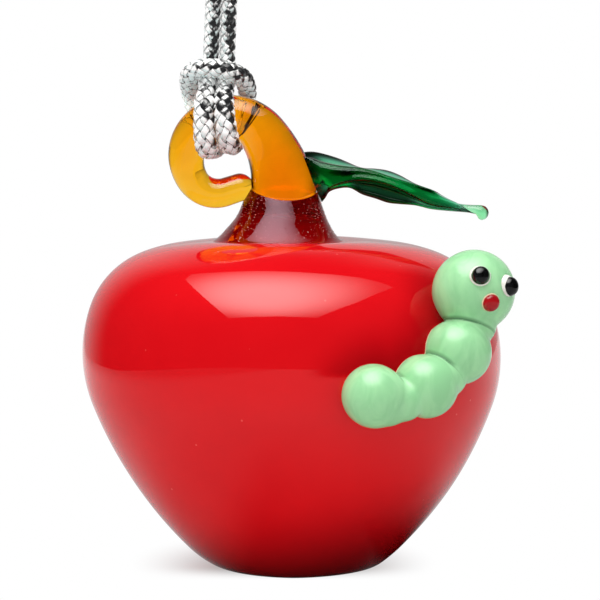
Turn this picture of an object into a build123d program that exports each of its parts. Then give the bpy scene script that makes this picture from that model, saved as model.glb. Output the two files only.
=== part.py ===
from build123d import *
from math import cos, pi, radians, sin, tan
import os

# Blown glass apple ornament with a worm on its cheek, hung on a braided cord by the eye of its stem.
# Millimetres, +Z up. The origin is the middle of the flat base, and the worm looks out towards -Y.

# Apple: four tangent arcs, named from the base up, under a flat crown
apple_diameter = 56.5
foot_radius = 3.7
foot_slope = 49.0  # degrees that the glass leans where the foot passes into the flank
flank_radius = 54.5
flank_slope = 21.0  # degrees, where the flank passes into the belly
belly_radius = 19.0
shoulder_slope = 21.0  # degrees, where the belly passes into the shoulder
shoulder_radius = 12.0
casing_wall = 1.2  # clear red glass over the opaque bubble
core_wall = 1.4  # opaque bubble that makes the red look solid
fuse_gap = 0.05  # hairline kept between two glass pieces that are melted together

# Stem: a red neck drawn out of the crown, and an amber rod curled into an eye
stem_offset = -1.0  # the stem stands a little left of the apple's axis
neck_foot_radius = 9.0
neck_rim_radius = 4.55
neck_height = 7.2
neck_hollow = 0.45  # how far the neck's side is drawn in between foot and rim
neck_bowl_depth = 1.4  # how deep the amber rod's round end sinks into the neck
eye_offset = -7.5  # middle of the eye, from the stem's axis
eye_rise = 4.9  # middle of the eye, above the neck's rim
curl_radius = 5.67  # of the rod's middle line round the eye
curl_start = 35.0  # degrees round the eye, from +X
curl_end = 211.0
hook_tail_radius = 3.85
hook_tail_turn = 77.0
hook_tail_length = 2.0
rod_shoulder_radius = 3.2  # the rod's own radius where the curl starts
rod_arch_radius = 2.7
rod_side_radius = 2.55
rod_bend_radius = 2.13  # where the curl passes into the tail
rod_tail_radius = 1.95
rod_tip_radius = 1.85

# Leaf: a folded blade with a ridge along the top and a round drop at its tip
leaf_reach = 26.2  # stem's axis to the end of the blade
leaf_root_reach = 3.6
leaf_root_rise = 4.9  # ridge above the neck's rim at the root
leaf_tip_rise = -1.9
leaf_arch = 0.7  # how far the ridge bows up between root and tip
leaf_half_width = 4.2
leaf_tip_half_width = 1.2
leaf_near_fold = 3.3  # the front half hangs down this far
leaf_far_fold = 0.5
leaf_ruffle = 0.45
leaf_ruffle_turns = 1.6
leaf_thickness = 1.5  # under the ridge, at the root
leaf_tip_thickness = 1.1
leaf_edge_thickness = 0.75
leaf_sections = 7
leaf_drop_radius = 1.0
leaf_drop_below = 0.6  # middle of the drop below the end of the ridge
leaf_root_width = 5.2
leaf_root_height = 6.6
leaf_root_depth = 4.6
leaf_root_drop = 2.4  # middle of the root below the ridge

# Worm: four opal beads, each on a longitude from the front and on the slope of the glass under it
bead_longitude = {"worm_tail": 21.5, "worm_rear_segment": 36.3, "worm_front_segment": 47.1, "worm_head": 54.6}
bead_slope = {"worm_tail": -8.0, "worm_rear_segment": -5.4, "worm_front_segment": 6.1, "worm_head": 28.6}
bead_radius = {"worm_tail": 4.5, "worm_rear_segment": 4.35, "worm_front_segment": 4.45, "worm_head": 5.55}
bead_sink = {"worm_tail": 2.6, "worm_rear_segment": 2.35, "worm_front_segment": 2.25, "worm_head": 1.65}

# Face: dots of glass on the head, by the direction in which each one looks out
eye_longitude = {"left": 8.5, "right": 59.0}
eye_slope = {"left": 26.5, "right": 9.0}
eye_white_radius = 1.4
eye_white_proud = 0.55  # above the head's glass
pupil_radius = 1.2
pupil_proud = 0.5  # above the white
nose_longitude = 23.0
nose_slope = -12.0
nose_radius = 1.1
nose_proud = 0.75

# Hanging cord: a lark's head round the arch of the eye, two legs, and a knot
cord_diameter = 2.0
leg_offset = -1.2  # midway between the legs, from the middle of the eye
leg_spacing = 2.45
leg_depth = -0.4  # the legs stand just in front of the rod's middle
pivot_height = 14.5  # above the middle of the eye, where the legs begin to swing
bend_room = 0.3  # left free round the bend between hitch and legs
leg_lean = 2.4  # degrees that the legs lean towards +X
leg_length = 14.5  # upright, from the bend to the bottom of the knot
knot_width = 6.4
knot_depth = 5.2
knot_length = 6.6
knot_flat = 0.75  # cut off the knot's rounded bottom and top, where the strands pass in and out
cord_tail_length = 5.0
bend_share = 0.45  # of the shorter run beside a corner, taken up by the bend
gap_steps = 240  # points along the cord at which its room to itself is measured
gap_apart = 3  # cord diameters along the cord within which two points are neighbours

# The cord's route from the middle of the front bar to each leg, seen from the middle of the eye
left_route = [
    (-3.8, -3.3, 12.1),
    (-5.5, -0.7, 11.5),
    (-5.3, 2.5, 8.9),
    (-4.6, 4.2, 5.2),
    (-1.15, 4.0, 0.8),
    (-2.3, -4.0, 0.6),
    (-3.1, -4.4, 6.8),
    (-2.65, -0.8, 10.8),
]
right_route = [
    (1.3, -3.3, 12.3),
    (2.8, -0.7, 11.5),
    (3.1, 2.8, 9.0),
    (2.6, 4.8, 5.2),
    (1.2, 4.0, 1.5),
    (0.2, -4.0, 1.2),
    (-0.55, -4.45, 7.0),
    (-0.1, -0.8, 10.8),
]

# Worked out from the sizes above
apple_radius = apple_diameter / 2
cord_radius = cord_diameter / 2


def polar(radius, degrees_round):
    """A step of that length in the apple's meridian plane, as radius and height."""
    return Vector(radius * cos(radians(degrees_round)), radius * sin(radians(degrees_round)))


def meridian_arcs():
    """Centre, radius and the slopes at both ends of each arc, foot first, with the base at height 0."""
    belly = Vector(apple_radius - belly_radius, 0)
    shoulder = belly + polar(belly_radius - shoulder_radius, shoulder_slope)
    flank = belly + polar(belly_radius - flank_radius, -flank_slope)
    foot = flank + polar(flank_radius - foot_radius, -foot_slope)
    lift = Vector(0, foot_radius - foot.Y)
    return [
        (foot + lift, foot_radius, -90, -foot_slope),
        (flank + lift, flank_radius, -foot_slope, -flank_slope),
        (belly + lift, belly_radius, -flank_slope, shoulder_slope),
        (shoulder + lift, shoulder_radius, shoulder_slope, 90),
    ]


arcs = meridian_arcs()
crown_height = arcs[-1][0].Y + shoulder_radius
rim_height = crown_height + neck_height
eye = Vector(stem_offset + eye_offset, 0, rim_height + eye_rise)


def apple_solid(grow):
    """The apple's whole body, with every face moved outwards by grow."""
    edges = [CenterArc(centre, radius + grow, low, high - low) for centre, radius, low, high in arcs]
    bottom = edges[0] @ 0
    top = edges[-1] @ 1
    axis_bottom = Vector(0, bottom.Y)
    axis_top = Vector(0, top.Y)
    edges += [Line(axis_bottom, bottom), Line(top, axis_top), Line(axis_top, axis_bottom)]
    return revolve(Plane.XZ * make_face(edges), axis=Axis.Z)


def apple_point(longitude, slope, height):
    """A point that high above the glass, where the glass leans by slope, at a longitude from the front."""
    for centre, radius, low, high in arcs:
        if low <= slope <= high:
            place = centre + polar(radius + height, slope)
    turn = radians(longitude)
    return Vector(place.X * sin(turn), -place.X * cos(turn), place.Y)


def outward(longitude, slope):
    """Direction at a longitude from the front and a slope above the horizon."""
    turn = radians(longitude)
    tilt = radians(slope)
    return Vector(sin(turn) * cos(tilt), -cos(turn) * cos(tilt), sin(tilt))


def below(plane, part):
    """What lies on the back of a plane."""
    return split(part, bisect_by=plane, keep=Keep.BOTTOM)


def above(plane, part):
    """What lies on the front of a plane."""
    return split(part, bisect_by=plane, keep=Keep.TOP)


def ball(middle, axis, radius):
    """A ball whose poles lie on an axis, clear of the cuts made across it."""
    return Plane(middle, z_dir=axis) * Sphere(radius)


def egg(middle, across, deep, tall):
    """A ball drawn out to three widths."""
    return Pos(middle) * scale(Sphere(0.5), by=(across, deep, tall))


def rod_line():
    """The hook's middle line in its own plane: up from the neck, round the eye and out along the tail."""
    start = Vector(stem_offset, rim_height)
    curl = CenterArc(Vector(eye.X, eye.Z), curl_radius, curl_start, curl_end - curl_start)
    rise = TangentArc(curl @ 0, start, tangent=(curl % 0) * -1)
    tail = JernArc(curl @ 1, curl % 1, hook_tail_radius, hook_tail_turn)
    tip = Line(tail @ 1, (tail @ 1) + (tail % 1) * hook_tail_length)
    return rise, curl, tail, tip


def rod_stations():
    """Places along the rod, each with its heading and the rod's radius there."""
    rise, curl, tail, tip = rod_line()
    arch = (90 - curl_start) / (curl_end - curl_start)
    side = (180 - curl_start) / (curl_end - curl_start)
    # line, its share at both ends, the rod's radius at both ends, steps between them
    stretches = [
        (rise, 1, 0, neck_rim_radius, rod_shoulder_radius, 4),
        (curl, 0, arch, rod_shoulder_radius, rod_arch_radius, 3),
        (curl, arch, side, rod_arch_radius, rod_side_radius, 4),
        (curl, side, 1, rod_side_radius, rod_bend_radius, 2),
        (tail, 0, 1, rod_bend_radius, rod_tail_radius, 4),
        (tip, 0, 1, rod_tail_radius, rod_tip_radius, 1),
    ]
    stations = []
    for line, first, last, radius, next_radius, steps in stretches:
        onward = 1 if last > first else -1
        for step in range(steps):
            share = step / steps
            at = first + (last - first) * share
            stations.append((line @ at, (line % at) * onward, radius + (next_radius - radius) * share))
    stations.append((tip @ 1, tip % 1, rod_tip_radius))
    upright = Plane.XZ
    return [(upright.from_local_coords(p), upright.from_local_coords(h), r) for p, h, r in stations]


def rod_solid(grow):
    """The amber rod with flat ends, with its skin moved outwards by grow."""
    sections = []
    for place, heading, radius in rod_stations():
        sections.append(Plane(place, x_dir=(0, 1, 0), z_dir=heading) * Circle(radius + grow))
    return loft(sections)


def rim_plane():
    """The plane in which the rod leaves the neck."""
    place, heading, _ = rod_stations()[0]
    return Plane(place, x_dir=(0, 1, 0), z_dir=heading)


def bowl_ball(grow):
    """The ball whose lower cap is the rod's round end in the neck."""
    place, heading, radius = rod_stations()[0]
    bowl_radius = (radius**2 + neck_bowl_depth**2) / (2 * neck_bowl_depth)
    middle = place + heading * (bowl_radius - neck_bowl_depth)
    return Pos(middle) * Sphere(bowl_radius + grow)


def make_hook():
    """The curled amber rod, round at the end of its tail and where it sits in the neck."""
    place, heading, radius = rod_stations()[-1]
    round_tip = above(Plane(place, z_dir=heading), ball(place, heading, radius))
    round_base = below(rim_plane(), bowl_ball(0))
    return rod_solid(0) + round_base + round_tip


def neck_solid(grow):
    """The drawn neck: a flared foot on the crown, tapering to the rim under the amber rod."""
    foot = Vector(neck_foot_radius + grow, 0)
    rim = Vector(neck_rim_radius + grow, neck_height)
    way = rim - foot
    waist = (foot + rim) / 2 + Vector(-way.Y, way.X).normalized() * neck_hollow
    past_rim = rim + Vector(0, neck_bowl_depth)
    outline = [
        ThreePointArc(foot, waist, rim),
        Line(rim, past_rim),
        Line(past_rim, Vector(0, past_rim.Y)),
        Line(Vector(0, past_rim.Y), Vector(0, 0)),
        Line(Vector(0, 0), foot),
    ]
    turned = revolve(Plane.XZ * make_face(outline), axis=Axis.Z)
    return below(rim_plane(), Pos(stem_offset, 0, crown_height) * turned)


def make_neck():
    """The neck with the bowl in its top that holds the amber rod."""
    return neck_solid(0) - bowl_ball(fuse_gap)


def blade_section(share):
    """The folded blade's cross-section at a share of the way from root to tip."""
    reach = stem_offset + leaf_root_reach + (leaf_reach - leaf_root_reach) * share
    rise = leaf_root_rise + (leaf_tip_rise - leaf_root_rise) * share + leaf_arch * sin(pi * share)
    ridge = rim_height + rise
    width = leaf_half_width + (leaf_tip_half_width - leaf_half_width) * share**2
    fold = width / leaf_half_width
    wave = leaf_ruffle * sin(2 * pi * leaf_ruffle_turns * share) * fold
    edge = leaf_edge_thickness * fold
    spine = leaf_thickness + (leaf_tip_thickness - leaf_thickness) * share**2
    near = ridge - leaf_near_fold * fold + wave
    far = ridge - leaf_far_fold * fold - wave
    top = [(-width, near), (0, ridge), (width, far)]
    underside = [(width, far - edge), (0, ridge - spine), (-width, near - edge)]
    return make_face(Polyline([Vector(reach, y, z) for y, z in top + underside], close=True))


def make_leaf():
    """Blade, tip drop and the thick root that is melted to the side of the stem."""
    blade = loft([blade_section(step / (leaf_sections - 1)) for step in range(leaf_sections)])
    tip = Vector(stem_offset + leaf_reach, 0, rim_height + leaf_tip_rise - leaf_drop_below)
    drop = Pos(tip) * Sphere(leaf_drop_radius)
    root_middle = Vector(stem_offset + leaf_root_reach, 0, rim_height + leaf_root_rise - leaf_root_drop)
    root = egg(root_middle, leaf_root_depth, leaf_root_width, leaf_root_height)
    return blade + drop + root - rod_solid(fuse_gap) - neck_solid(fuse_gap)


def bead_middle(name):
    height = bead_radius[name] - bead_sink[name]
    return apple_point(bead_longitude[name], bead_slope[name], height)


def crease(first, second):
    """The plane in which two neighbouring beads meet, facing the second one."""
    start = bead_middle(first)
    way = bead_middle(second) - start
    reach = (way.length**2 + bead_radius[first] ** 2 - bead_radius[second] ** 2) / (2 * way.length)
    return Plane(start + way.normalized() * reach, z_dir=way)


def make_worm():
    """The worm's beads, each cut flat where it meets the next and hollowed where it sits on the apple."""
    apple_skin = apple_solid(fuse_gap)
    names = list(bead_radius)
    beads = {}
    for index, name in enumerate(names):
        ahead = names[min(index + 1, len(names) - 1)]
        behind = names[max(index - 1, 0)]
        bead = ball(bead_middle(name), bead_middle(ahead) - bead_middle(behind), bead_radius[name])
        if name != behind:
            bead = above(crease(behind, name), bead)
        if name != ahead:
            bead = below(crease(name, ahead), bead)
        beads[name] = bead - apple_skin
    return beads


def dot_ball(longitude, slope, radius, top):
    """A ball of glass on the head whose outermost point stands that far from the head's middle."""
    look = outward(longitude, slope)
    return ball(bead_middle("worm_head") + look * (top - radius), look, radius)


def make_face_dots():
    """Eye whites, pupils and nose, each seated on the glass under it."""
    head_radius = bead_radius["worm_head"]
    white_top = head_radius + eye_white_proud
    dots = {}
    for side in ("left", "right"):
        look = eye_longitude[side], eye_slope[side]
        head_skin = ball(bead_middle("worm_head"), outward(*look), head_radius + fuse_gap)
        white = dot_ball(*look, eye_white_radius, white_top)
        white_skin = dot_ball(*look, eye_white_radius + fuse_gap, white_top + fuse_gap)
        pupil = dot_ball(*look, pupil_radius, white_top + pupil_proud)
        dots[side + "_eye_white"] = white - head_skin
        dots[side + "_pupil"] = pupil - white_skin - head_skin
    look = nose_longitude, nose_slope
    head_skin = ball(bead_middle("worm_head"), outward(*look), head_radius + fuse_gap)
    dots["nose_dot"] = dot_ball(*look, nose_radius, head_radius + nose_proud) - head_skin
    return dots


def corner_radii(points):
    """For each corner of a route, the largest bend that its two runs leave room for."""
    radii = []
    for before, corner, after in zip(points, points[1:], points[2:]):
        arriving = corner - before
        leaving = after - corner
        turn = arriving.get_angle(leaving)
        shorter = min(arriving.length, leaving.length)
        radii.append(bend_share * shorter / tan(radians(turn) / 2))
    return radii


def least_gap(path):
    """The least room that the cord leaves between two of its own stretches, on points along it."""
    spots = [path @ (step / gap_steps) for step in range(gap_steps + 1)]
    apart = int(gap_apart * cord_diameter / path.length * gap_steps)
    pairs = [(a, b) for a in range(gap_steps) for b in range(a + apart, gap_steps + 1)]
    return min((spots[a] - spots[b]).length for a, b in pairs) - cord_diameter


def leg_foot(side):
    """Where a leg bends, at the swing's axis."""
    return eye + Vector(leg_offset + side * leg_spacing / 2, leg_depth, pivot_height)


def make_hitch():
    """The lark's head: in front of the arch, through the eye, up behind, and across in front of both legs."""
    clear = Vector(0, 0, cord_radius + bend_room)
    points = [leg_foot(-1) - clear]
    points += [eye + Vector(*point) for point in reversed(left_route)]
    points += [eye + Vector(*point) for point in right_route]
    points.append(leg_foot(1) - clear)
    radii = corner_radii(points)
    path = FilletPolyline(*points, radius=radii)
    hitch = sweep(Plane(path @ 0, z_dir=path % 0) * Circle(cord_radius), path=path)
    full = pi * cord_radius**2 * path.length
    print("hitch radii", [round(radius, 2) for radius in radii])
    print("hitch length", round(path.length, 2), "volume share", round(hitch.volume / full, 4))
    print("hitch least gap to itself", round(least_gap(path), 2))
    return hitch


def post(tall):
    """A straight piece of cord standing on the origin."""
    return Cylinder(cord_radius, tall, align=(Align.CENTER, Align.CENTER, Align.MIN))


def lean():
    """The way the legs lead up from the hitch."""
    return Vector(sin(radians(leg_lean)), 0, cos(radians(leg_lean)))


def knot_bottom():
    """Middle of the knot's flat bottom."""
    middle = (leg_foot(-1) + leg_foot(1)) / 2
    return middle + lean() * (leg_length / lean().Z)


def make_leg(side):
    """One leg, rounded at the bend so that it can lie over to either side, cut level under the knot."""
    foot = leg_foot(side)
    rise = (leg_length + cord_diameter) / lean().Z
    leg = Plane(foot, z_dir=lean()) * post(rise) + Pos(foot) * Sphere(cord_radius)
    return below(Plane(knot_bottom()), leg)


def make_knot():
    """The knot that joins both ends of the cord, with the two cut ends standing out of it."""
    bottom = knot_bottom()
    middle = bottom + Vector(0, 0, knot_length / 2 - knot_flat)
    top = middle + Vector(0, 0, knot_length / 2 - knot_flat)
    knot = below(Plane(top), above(Plane(bottom), egg(middle, knot_width, knot_depth, knot_length)))
    tall = top.Z - middle.Z + cord_tail_length
    for side in (-1, 1):
        knot += Pos(middle + Vector(side * leg_spacing / 2, 0, 0)) * post(tall)
    return knot


core_grow = -casing_wall - fuse_gap
nodes = {
    "apple_casing": apple_solid(0) - apple_solid(-casing_wall),
    "apple_core": apple_solid(core_grow) - apple_solid(core_grow - core_wall),
    "stem_neck": make_neck(),
    "stem_hook": make_hook(),
    "leaf": make_leaf(),
    **make_worm(),
    **make_face_dots(),
    "cord_hitch": make_hitch(),
    "cord_left_leg": make_leg(-1),
    "cord_right_leg": make_leg(1),
    "cord_knot": make_knot(),
}

os.makedirs("parts", exist_ok=True)
for name, solid in nodes.items():
    export_step(solid, f"parts/{name}.step")
print("crown", round(crown_height, 3), "eye", eye, "pivot", (leg_foot(-1) + leg_foot(1)) / 2)
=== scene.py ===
# %% [markdown]
# # A blown glass apple with a worm on its cheek
# The imported model is the fixed frame: every piece below is made in metres in that frame, so it needs no
# fitting.

# %% Load the frame
import math

import bmesh
import bpy
import numpy as np
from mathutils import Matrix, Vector


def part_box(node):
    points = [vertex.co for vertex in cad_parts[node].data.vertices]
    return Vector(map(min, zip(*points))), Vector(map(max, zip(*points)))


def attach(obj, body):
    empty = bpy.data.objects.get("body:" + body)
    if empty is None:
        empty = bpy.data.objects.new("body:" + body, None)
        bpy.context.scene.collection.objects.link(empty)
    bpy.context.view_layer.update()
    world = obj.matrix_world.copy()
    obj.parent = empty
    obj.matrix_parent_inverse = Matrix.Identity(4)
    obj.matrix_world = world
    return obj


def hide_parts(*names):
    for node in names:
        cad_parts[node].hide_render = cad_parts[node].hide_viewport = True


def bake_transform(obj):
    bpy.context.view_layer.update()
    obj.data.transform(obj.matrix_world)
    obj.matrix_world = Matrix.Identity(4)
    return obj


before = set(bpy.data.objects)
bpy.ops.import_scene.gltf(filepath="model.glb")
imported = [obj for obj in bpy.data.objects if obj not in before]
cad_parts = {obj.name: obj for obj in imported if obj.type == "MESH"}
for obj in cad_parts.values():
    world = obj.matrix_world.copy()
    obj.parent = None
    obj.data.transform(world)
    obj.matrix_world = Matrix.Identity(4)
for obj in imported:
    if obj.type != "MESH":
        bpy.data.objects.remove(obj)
scene = bpy.context.scene
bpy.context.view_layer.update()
MM = 0.001

# %% [markdown]
# ## Camera
# The photograph was taken from a little above the apple's waist with a long lens, so its lines hardly
# converge. A lens that sees 81 mm at one metre gives the same framing, and no depth of field is needed.

# %% Camera
VIEW_ELEVATION = math.radians(5.0)
VIEW_DISTANCE = 1.0
VIEW_WIDTH = 81.0 * MM
VIEW_TARGET = Vector((1.15, 0.0, 36.7)) * MM

camera_data = bpy.data.cameras.new("camera")
camera_data.lens = camera_data.sensor_width * VIEW_DISTANCE / VIEW_WIDTH
camera = bpy.data.objects.new("camera", camera_data)
towards_camera = Vector((0.0, -math.cos(VIEW_ELEVATION), math.sin(VIEW_ELEVATION)))
camera.location = VIEW_TARGET + towards_camera * VIEW_DISTANCE
camera.rotation_euler = (-towards_camera).to_track_quat("-Z", "Y").to_euler()
scene.collection.objects.link(camera)
scene.camera = camera
scene.view_settings.view_transform = "Standard"
print("lens", round(camera_data.lens, 1), "mm")

# %% [markdown]
# ## Helpers for node trees
# Shader trees and geometry trees are wired in the same way: a maths node takes numbers or sockets and
# hands back a socket. Wiring them by hand in the editor works too, but a few helpers keep long trees
# readable.

# %% Node helpers
def feed(tree, socket, value):
    """Sets a socket to a number, colour or object, or links it to another socket."""
    if isinstance(value, bpy.types.NodeSocket):
        tree.links.new(value, socket)
    else:
        socket.default_value = value


def set_inputs(tree, node, **inputs):
    """Sets inputs of a node by their names, with _ for each space."""
    for name, value in inputs.items():
        feed(tree, node.inputs[name.replace("_", " ")], value)


def add_node(tree, kind, settings=None, **inputs):
    """A node of that kind, with its settings, and with inputs given by their names."""
    node = tree.nodes.new(kind)
    for name, value in (settings or {}).items():
        setattr(node, name, value)
    set_inputs(tree, node, **inputs)
    return node


def calc(tree, operation, *values):
    """A maths node's result."""
    node = tree.nodes.new("ShaderNodeMath")
    node.operation = operation
    for socket, value in zip(node.inputs, values):
        feed(tree, socket, value)
    return node.outputs[0]


def times(tree, first, second):
    """The product of two numbers or sockets."""
    return calc(tree, "MULTIPLY", first, second)


def vector_calc(tree, operation, *values, scale=None):
    """A vector maths node's result."""
    node = tree.nodes.new("ShaderNodeVectorMath")
    node.operation = operation
    for socket, value in zip(node.inputs, values):
        feed(tree, socket, value)
    if scale is not None:
        feed(tree, node.inputs["Scale"], scale)
    return node.outputs["Value" if operation in ("LENGTH", "DOT_PRODUCT") else "Vector"]


def axis(tree, vector, letter):
    """One axis of a vector."""
    return add_node(tree, "ShaderNodeSeparateXYZ", Vector=vector).outputs[letter]


def remap(tree, value, low, high, to_low, to_high):
    """A value stretched smoothly from one range to another and kept inside it."""
    node = add_node(tree, "ShaderNodeMapRange", {"interpolation_type": "SMOOTHSTEP"})
    for socket, number in zip(node.inputs, (value, low, high, to_low, to_high)):
        feed(tree, socket, number)
    return node.outputs["Result"]


print("node helpers ready")

# %% [markdown]
# ## Helpers for colours
# No glass or film here is one flat colour. Most finishes are two near colours mixed by a noise, and then
# made darker or lighter by a number that the mesh keeps on its points. All patterns read Object
# coordinates, so they stay on the piece when it moves.

# %% Colour helpers
def noise(tree, vector, scale, detail=2.0, distortion=0.0):
    """Noise on a vector, between 0 and 1."""
    node = add_node(tree, "ShaderNodeTexNoise", Vector=vector, Scale=scale, Detail=detail)
    set_inputs(tree, node, Distortion=distortion)
    return node.outputs[0]


def colour_mix(tree, factor, first, second, way="MIX"):
    """A colour between two, or the first one multiplied by the second. Plain colours have three numbers."""
    node = tree.nodes.new("ShaderNodeMix")
    node.data_type = "RGBA"
    node.blend_type = way
    feed(tree, node.inputs[0], factor)
    for index, colour in ((6, first), (7, second)):
        feed(tree, node.inputs[index], (*colour, 1.0) if isinstance(colour, tuple) else colour)
    return node.outputs[2]


def clouded(tree, pattern, dark, light, low=0.3, high=0.7):
    """Two colours mixed by a noise, with soft borders."""
    return colour_mix(tree, remap(tree, pattern, low, high, 0.0, 1.0), dark, light)


def point_value(tree, name):
    """A number that the mesh keeps on its points, for a shader."""
    return add_node(tree, "ShaderNodeAttribute", {"attribute_name": name}).outputs["Fac"]


def new_material(name):
    """A material with its Principled shader, and the Object coordinates that its patterns read."""
    material = bpy.data.materials.new(name)
    material.use_nodes = True
    tree = material.node_tree
    shader = tree.nodes["Principled BSDF"]
    place = tree.nodes.new("ShaderNodeTexCoord").outputs["Object"]
    return material, tree, shader, place


def bump(tree, shader, height, distance):
    """Raises the surface by a pattern."""
    node = add_node(tree, "ShaderNodeBump", Height=height, Distance=distance, Strength=1.0)
    tree.links.new(node.outputs["Normal"], shader.inputs["Normal"])


print("colour helpers ready")

# %% [markdown]
# ## Helpers for meshes
# Most pieces are skins over rings: the apple is turned, the stem is drawn along a line, a dot of glass is
# a small dome. Screw or Skin modifiers could do some of it, but one helper does it all: it joins the
# rings, closes both ends in a point and makes sure that the faces look outwards.

# %% Mesh helpers
def piece_from(name, vertices, faces):
    """A smooth shaded object from points in metres."""
    mesh = bpy.data.meshes.new(name)
    mesh.from_pydata([tuple(v) for v in vertices], [], faces)
    mesh.update()
    mesh.polygons.foreach_set("use_smooth", [True] * len(mesh.polygons))
    piece = bpy.data.objects.new(name, mesh)
    scene.collection.objects.link(piece)
    return piece


def face_outwards(piece):
    """Turns all faces outwards on a closed skin."""
    work = bmesh.new()
    work.from_mesh(piece.data)
    bmesh.ops.remove_doubles(work, verts=work.verts, dist=1e-8)
    bmesh.ops.recalc_face_normals(work, faces=work.faces)
    if work.calc_volume(signed=True) < 0:
        bmesh.ops.reverse_faces(work, faces=work.faces)
    work.to_mesh(piece.data)
    work.free()
    return piece


def skin(name, first_pole, rings, last_pole):
    """A closed skin over rings of equal count, from one pole to the other."""
    rings = [np.asarray(ring) for ring in rings]
    around = len(rings[0])
    vertices = [np.asarray(first_pole)[None], *rings, np.asarray(last_pole)[None]]
    faces = []
    for step in range(around):
        after = (step + 1) % around
        faces.append((0, 1 + after, 1 + step))
        for row in range(len(rings) - 1):
            low = 1 + row * around
            faces.append((low + step, low + after, low + around + after, low + around + step))
        top = 1 + (len(rings) - 1) * around
        faces.append((top + step, top + after, top + around))
    return face_outwards(piece_from(name, np.vstack(vertices), faces))


def capped(name, rings):
    """A closed skin over rings, with flat ends."""
    return skin(name, rings[0].mean(axis=0), rings, rings[-1].mean(axis=0))


def circle(middle, first, second, radius, around):
    """A ring of points about a middle, in the plane of two directions."""
    turn = np.linspace(0, 2 * math.pi, around, endpoint=False)[:, None]
    spoke = np.cos(turn) * np.asarray(first) + np.sin(turn) * np.asarray(second)
    return np.asarray(middle) + radius * spoke


print("mesh helpers ready")

# %% [markdown]
# ## Helpers for points and bodies
# Two more small things are needed for every piece: numbers kept on its points for the shaders, and the
# calls that put it on the moving body that it rides on and hide the solids of the frame that it stands for.

# %% Point and body helpers
def mesh_points(mesh):
    """The points of a mesh as an array."""
    points = np.zeros(len(mesh.vertices) * 3)
    mesh.vertices.foreach_get("co", points)
    return points.reshape(-1, 3)


def keep_on_points(mesh, name, values):
    """Keeps a number on each point of a mesh."""
    attribute = mesh.attributes.new(name, "FLOAT", "POINT")
    attribute.data.foreach_set("value", np.asarray(values, np.float32))


def dress(piece, material, body, slot, *nodes):
    """Gives a piece its material, puts it on the body that it rides on and hides the solids that it stands
    for.
    """
    piece.data.materials.clear()
    piece.data.materials.append(material)
    if nodes:
        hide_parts(*nodes)
    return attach(piece, body)


print("point helpers ready")

# %% [markdown]
# ## The cord's route
# A silver cord is doubled and hitched round the arch of the hook in a lark's head: both legs go up, and
# their bight lies across the front. The route is the one of the solids, in millimetres from the middle of
# the hook's eye. The legs and the strands in front stand closer together here than in the solids, because
# the braid is soft and they lie against each other.

# %% Cord route
NECK_HEIGHT = 7.2
STEM_OFFSET = -1.0
EYE_OFFSET = -7.5
EYE_RISE = 4.9
LEG_OFFSET = -1.2
LEG_SPACING = 2.12
LEG_DEPTH = -0.4
LEG_LENGTH = 14.5
LEG_LEAN = math.radians(2.4)
PIVOT_HEIGHT = 14.5

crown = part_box("apple_casing")[1].z
rim = crown + NECK_HEIGHT * MM
eye = Vector(((STEM_OFFSET + EYE_OFFSET) * MM, 0.0, rim + EYE_RISE * MM))
pivot = eye + Vector((LEG_OFFSET, LEG_DEPTH, PIVOT_HEIGHT)) * MM
left_route = [
    (-3.5, -3.4, 12.6),
    (-5.4, -0.8, 11.4),
    (-5.2, 2.5, 8.9),
    (-4.6, 4.2, 5.2),
    (-0.6, 4.2, 1.1),
    (-3.1, -5.0, 0.9),
    (-3.2, -4.8, 6.8),
    (-2.6, -0.8, 10.8),
]
right_route = [
    (0.7, -3.4, 11.9),
    (2.2, -1.2, 10.7),
    (2.6, 2.4, 8.9),
    (2.6, 4.8, 5.2),
    (1.2, 4.0, 1.5),
    (0.2, -4.7, 1.5),
    (-0.85, -4.8, 7.0),
    (-0.2, -0.8, 10.8),
]


def leg_points(side):
    """The foot of a leg at the bend, and its top in the knot."""
    foot = (LEG_OFFSET + side * LEG_SPACING / 2, LEG_DEPTH, PIVOT_HEIGHT)
    top = (foot[0] + math.tan(LEG_LEAN) * LEG_LENGTH, foot[1], foot[2] + LEG_LENGTH)
    return [foot, top]


cord_route = [*reversed(leg_points(-1)), *reversed(left_route), *right_route, *leg_points(1)]
print("cord route", len(cord_route), "points")

# %% [markdown]
# ## The cord's line
# A polyline would kink at each point of the route. A NURBS curve with the same points as its control
# points turns the corners as a limp cord does. Read without a bevel, it gives the points that the braid
# follows.

# %% Cord line
def nurbs_line(name, points):
    """A curve with no bevel, with the route's points as its control points."""
    curve = bpy.data.curves.new(name, "CURVE")
    curve.dimensions = "3D"
    curve.resolution_u = 24
    spline = curve.splines.new("NURBS")
    spline.points.add(len(points) - 1)
    for place, point in zip(spline.points, points):
        place.co = (*point, 1.0)
    spline.order_u = 3
    spline.use_endpoint_u = True
    return bpy.data.objects.new(name, curve)


def line_mesh(curve_object):
    """The smooth line's points, as a mesh of edges."""
    scene.collection.objects.link(curve_object)
    evaluated = curve_object.evaluated_get(bpy.context.evaluated_depsgraph_get())
    mesh = bpy.data.meshes.new_from_object(evaluated)
    bpy.data.objects.remove(curve_object)
    return mesh


cord_mesh = line_mesh(nurbs_line("cord_line", [eye + Vector(p) * MM for p in cord_route]))
cord_path = mesh_points(cord_mesh)
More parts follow.
